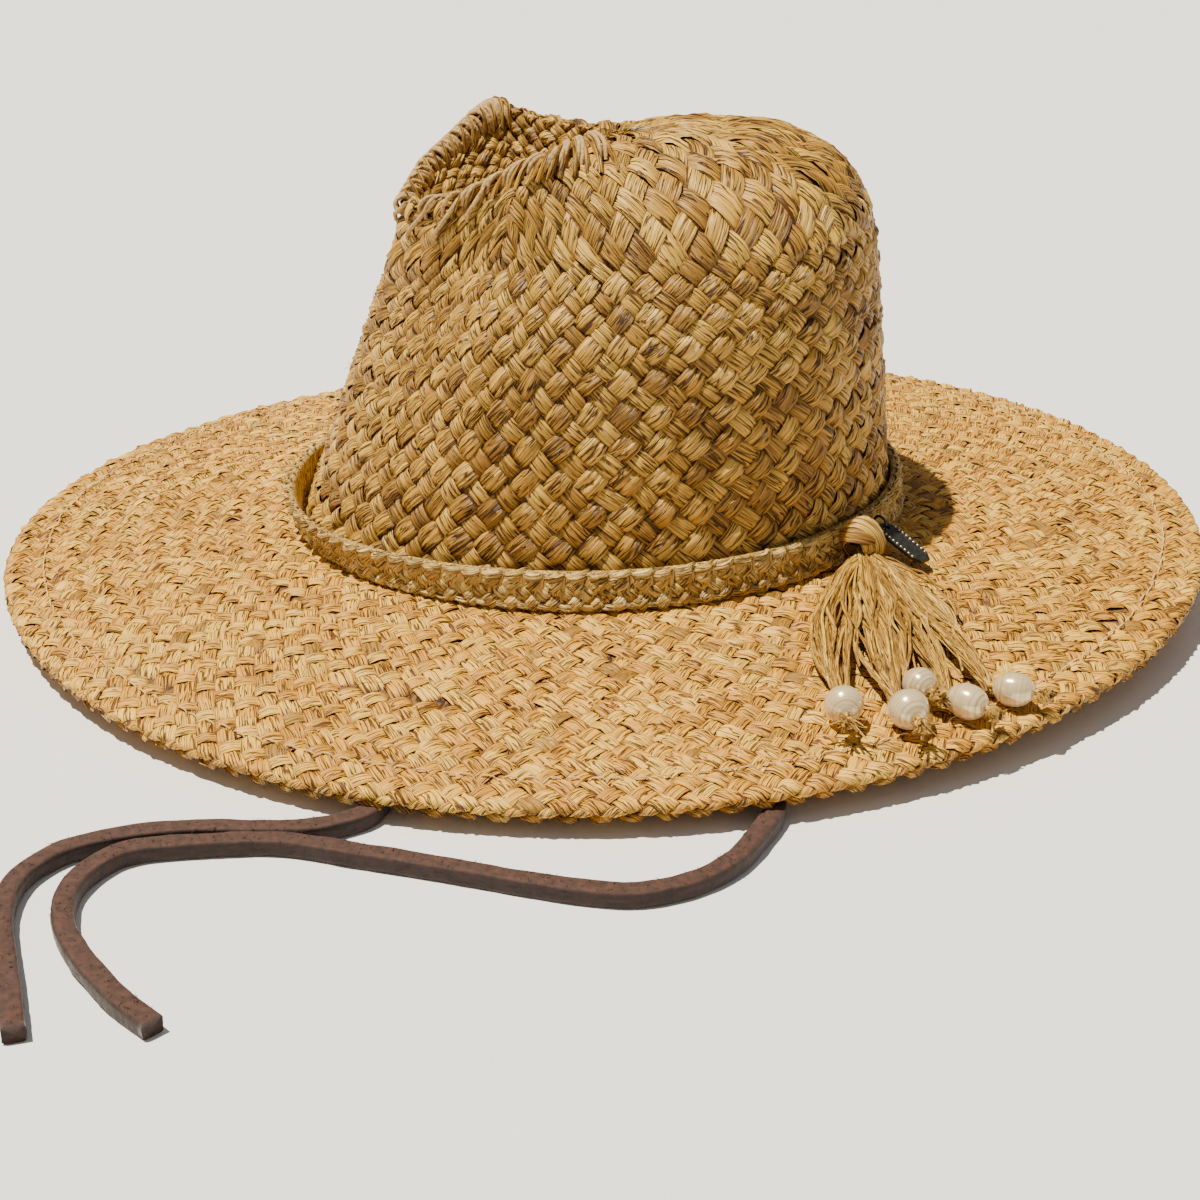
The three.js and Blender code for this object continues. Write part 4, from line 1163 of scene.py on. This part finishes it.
def lace_tab(name):
    """A leather tab with rounded edges, in the place of its solid."""
    co = np.array([v.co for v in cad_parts[name].data.vertices], float).reshape(-1, 3)
    mid = (co.min(0) + co.max(0)) / 2
    low_mid = co[co[:, 2] < mid[2]].mean(0)
    high_mid = co[co[:, 2] > mid[2]].mean(0)
    tt = np.linspace(-1.5, 1.5, 14)[:, None]
    ph = np.arange(24)[None, :] * 2 * np.pi / 24
    cx, cy = squarish(np.cos(ph)), squarish(np.sin(ph))
    rr, zz = np.abs(squarish(np.cos(tt))), squarish(np.sin(tt))
    centre = low_mid + (high_mid - low_mid) * ((zz + 1) / 2)[..., None]
    P = centre + np.stack([0.0035 * cx * rr, 0.008 * cy * rr, 0 * cx * rr], -1)
    uv = np.stack([ph / 6 + 0 * tt, tt + 0 * ph], -1)
    pile = Pile().grids(P[None][:, ::-1], uv[None][:, ::-1], np.array([0.8]), wrap_u=True)
    put(pile.build(name + "_leather"), LEATHER, [name])


lace("lace_left", "chin_lace_left", "lace_tab_left", 1, LEFT_ROUTE, 1)
lace("lace_right", "chin_lace_right", "lace_tab_right", -1, RIGHT_ROUTE, 2)
lace_tab("lace_tab_left")
lace_tab("lace_tab_right")

# Camera at the photo's place: its angles, its distance in millimetres, and its focal length and the place
# of the hat's origin in pixels of the photo
AZ, EL, DIST = math.radians(77), math.radians(23.4), 770.0
PHOTO, FOCAL, CX, CY = 1200, 2303.0, 609.0, 531.0


def photo_camera():
    fwd = np.array([-math.sin(AZ) * math.cos(EL), math.cos(AZ) * math.cos(EL), -math.sin(EL)])
    right = np.array([math.cos(AZ), math.sin(AZ), 0.0])
    up = np.cross(right, fwd)
    aim = rolled(unit(fwd + right * (PHOTO / 2 - CX) / FOCAL - up * (PHOTO / 2 - CY) / FOCAL))
    side = unit(np.cross(aim, rolled(up)))
    top = np.cross(side, aim)
    place = settle(-fwd * DIST)
    cam = bpy.data.cameras.new("camera")
    cam.sensor_width = 36
    cam.lens = cam.sensor_width * FOCAL / PHOTO
    obj = placed("camera", cam)
    obj.matrix_world = Matrix([[side[i], top[i], -aim[i], place[i]] for i in range(3)] + [[0, 0, 0, 1]])
    bpy.context.scene.camera = obj


def floor_plane():
    material, nt, bsdf = node_material("floor")
    feed(nt, bsdf, {"Base Color": (0.86, 0.86, 0.86, 1), "Roughness": 0.9})
    bpy.ops.mesh.primitive_plane_add(size=6, location=(0, 0, 0))
    floor = bpy.context.object
    floor.name = "floor"
    floor.data.materials.append(material)


SKY_STRENGTH, SUN_ENERGY, SUN_SPREAD = 0.27, 8.2, math.radians(1.0)
SUN_COLOUR, SUN_PLACE = (1, 0.92, 0.77), (-0.1, -0.31, 1.0)


def daylight():
    """A white sky and a warm sun above and a little in front of the hat."""
    world = bpy.data.worlds.new("world")
    world.use_nodes = True
    world.node_tree.nodes["Background"].inputs[0].default_value = (1, 1, 1, 1)
    world.node_tree.nodes["Background"].inputs[1].default_value = SKY_STRENGTH
    bpy.context.scene.world = world
    sun = bpy.data.lights.new("sun", "SUN")
    sun.energy = SUN_ENERGY
    sun.color = SUN_COLOUR
    sun.angle = SUN_SPREAD
    obj = placed("sun", sun)
    obj.location = SUN_PLACE
    obj.rotation_euler = (-Vector(SUN_PLACE)).to_track_quat("-Z", "Y").to_euler()


photo_camera()
floor_plane()
daylight()
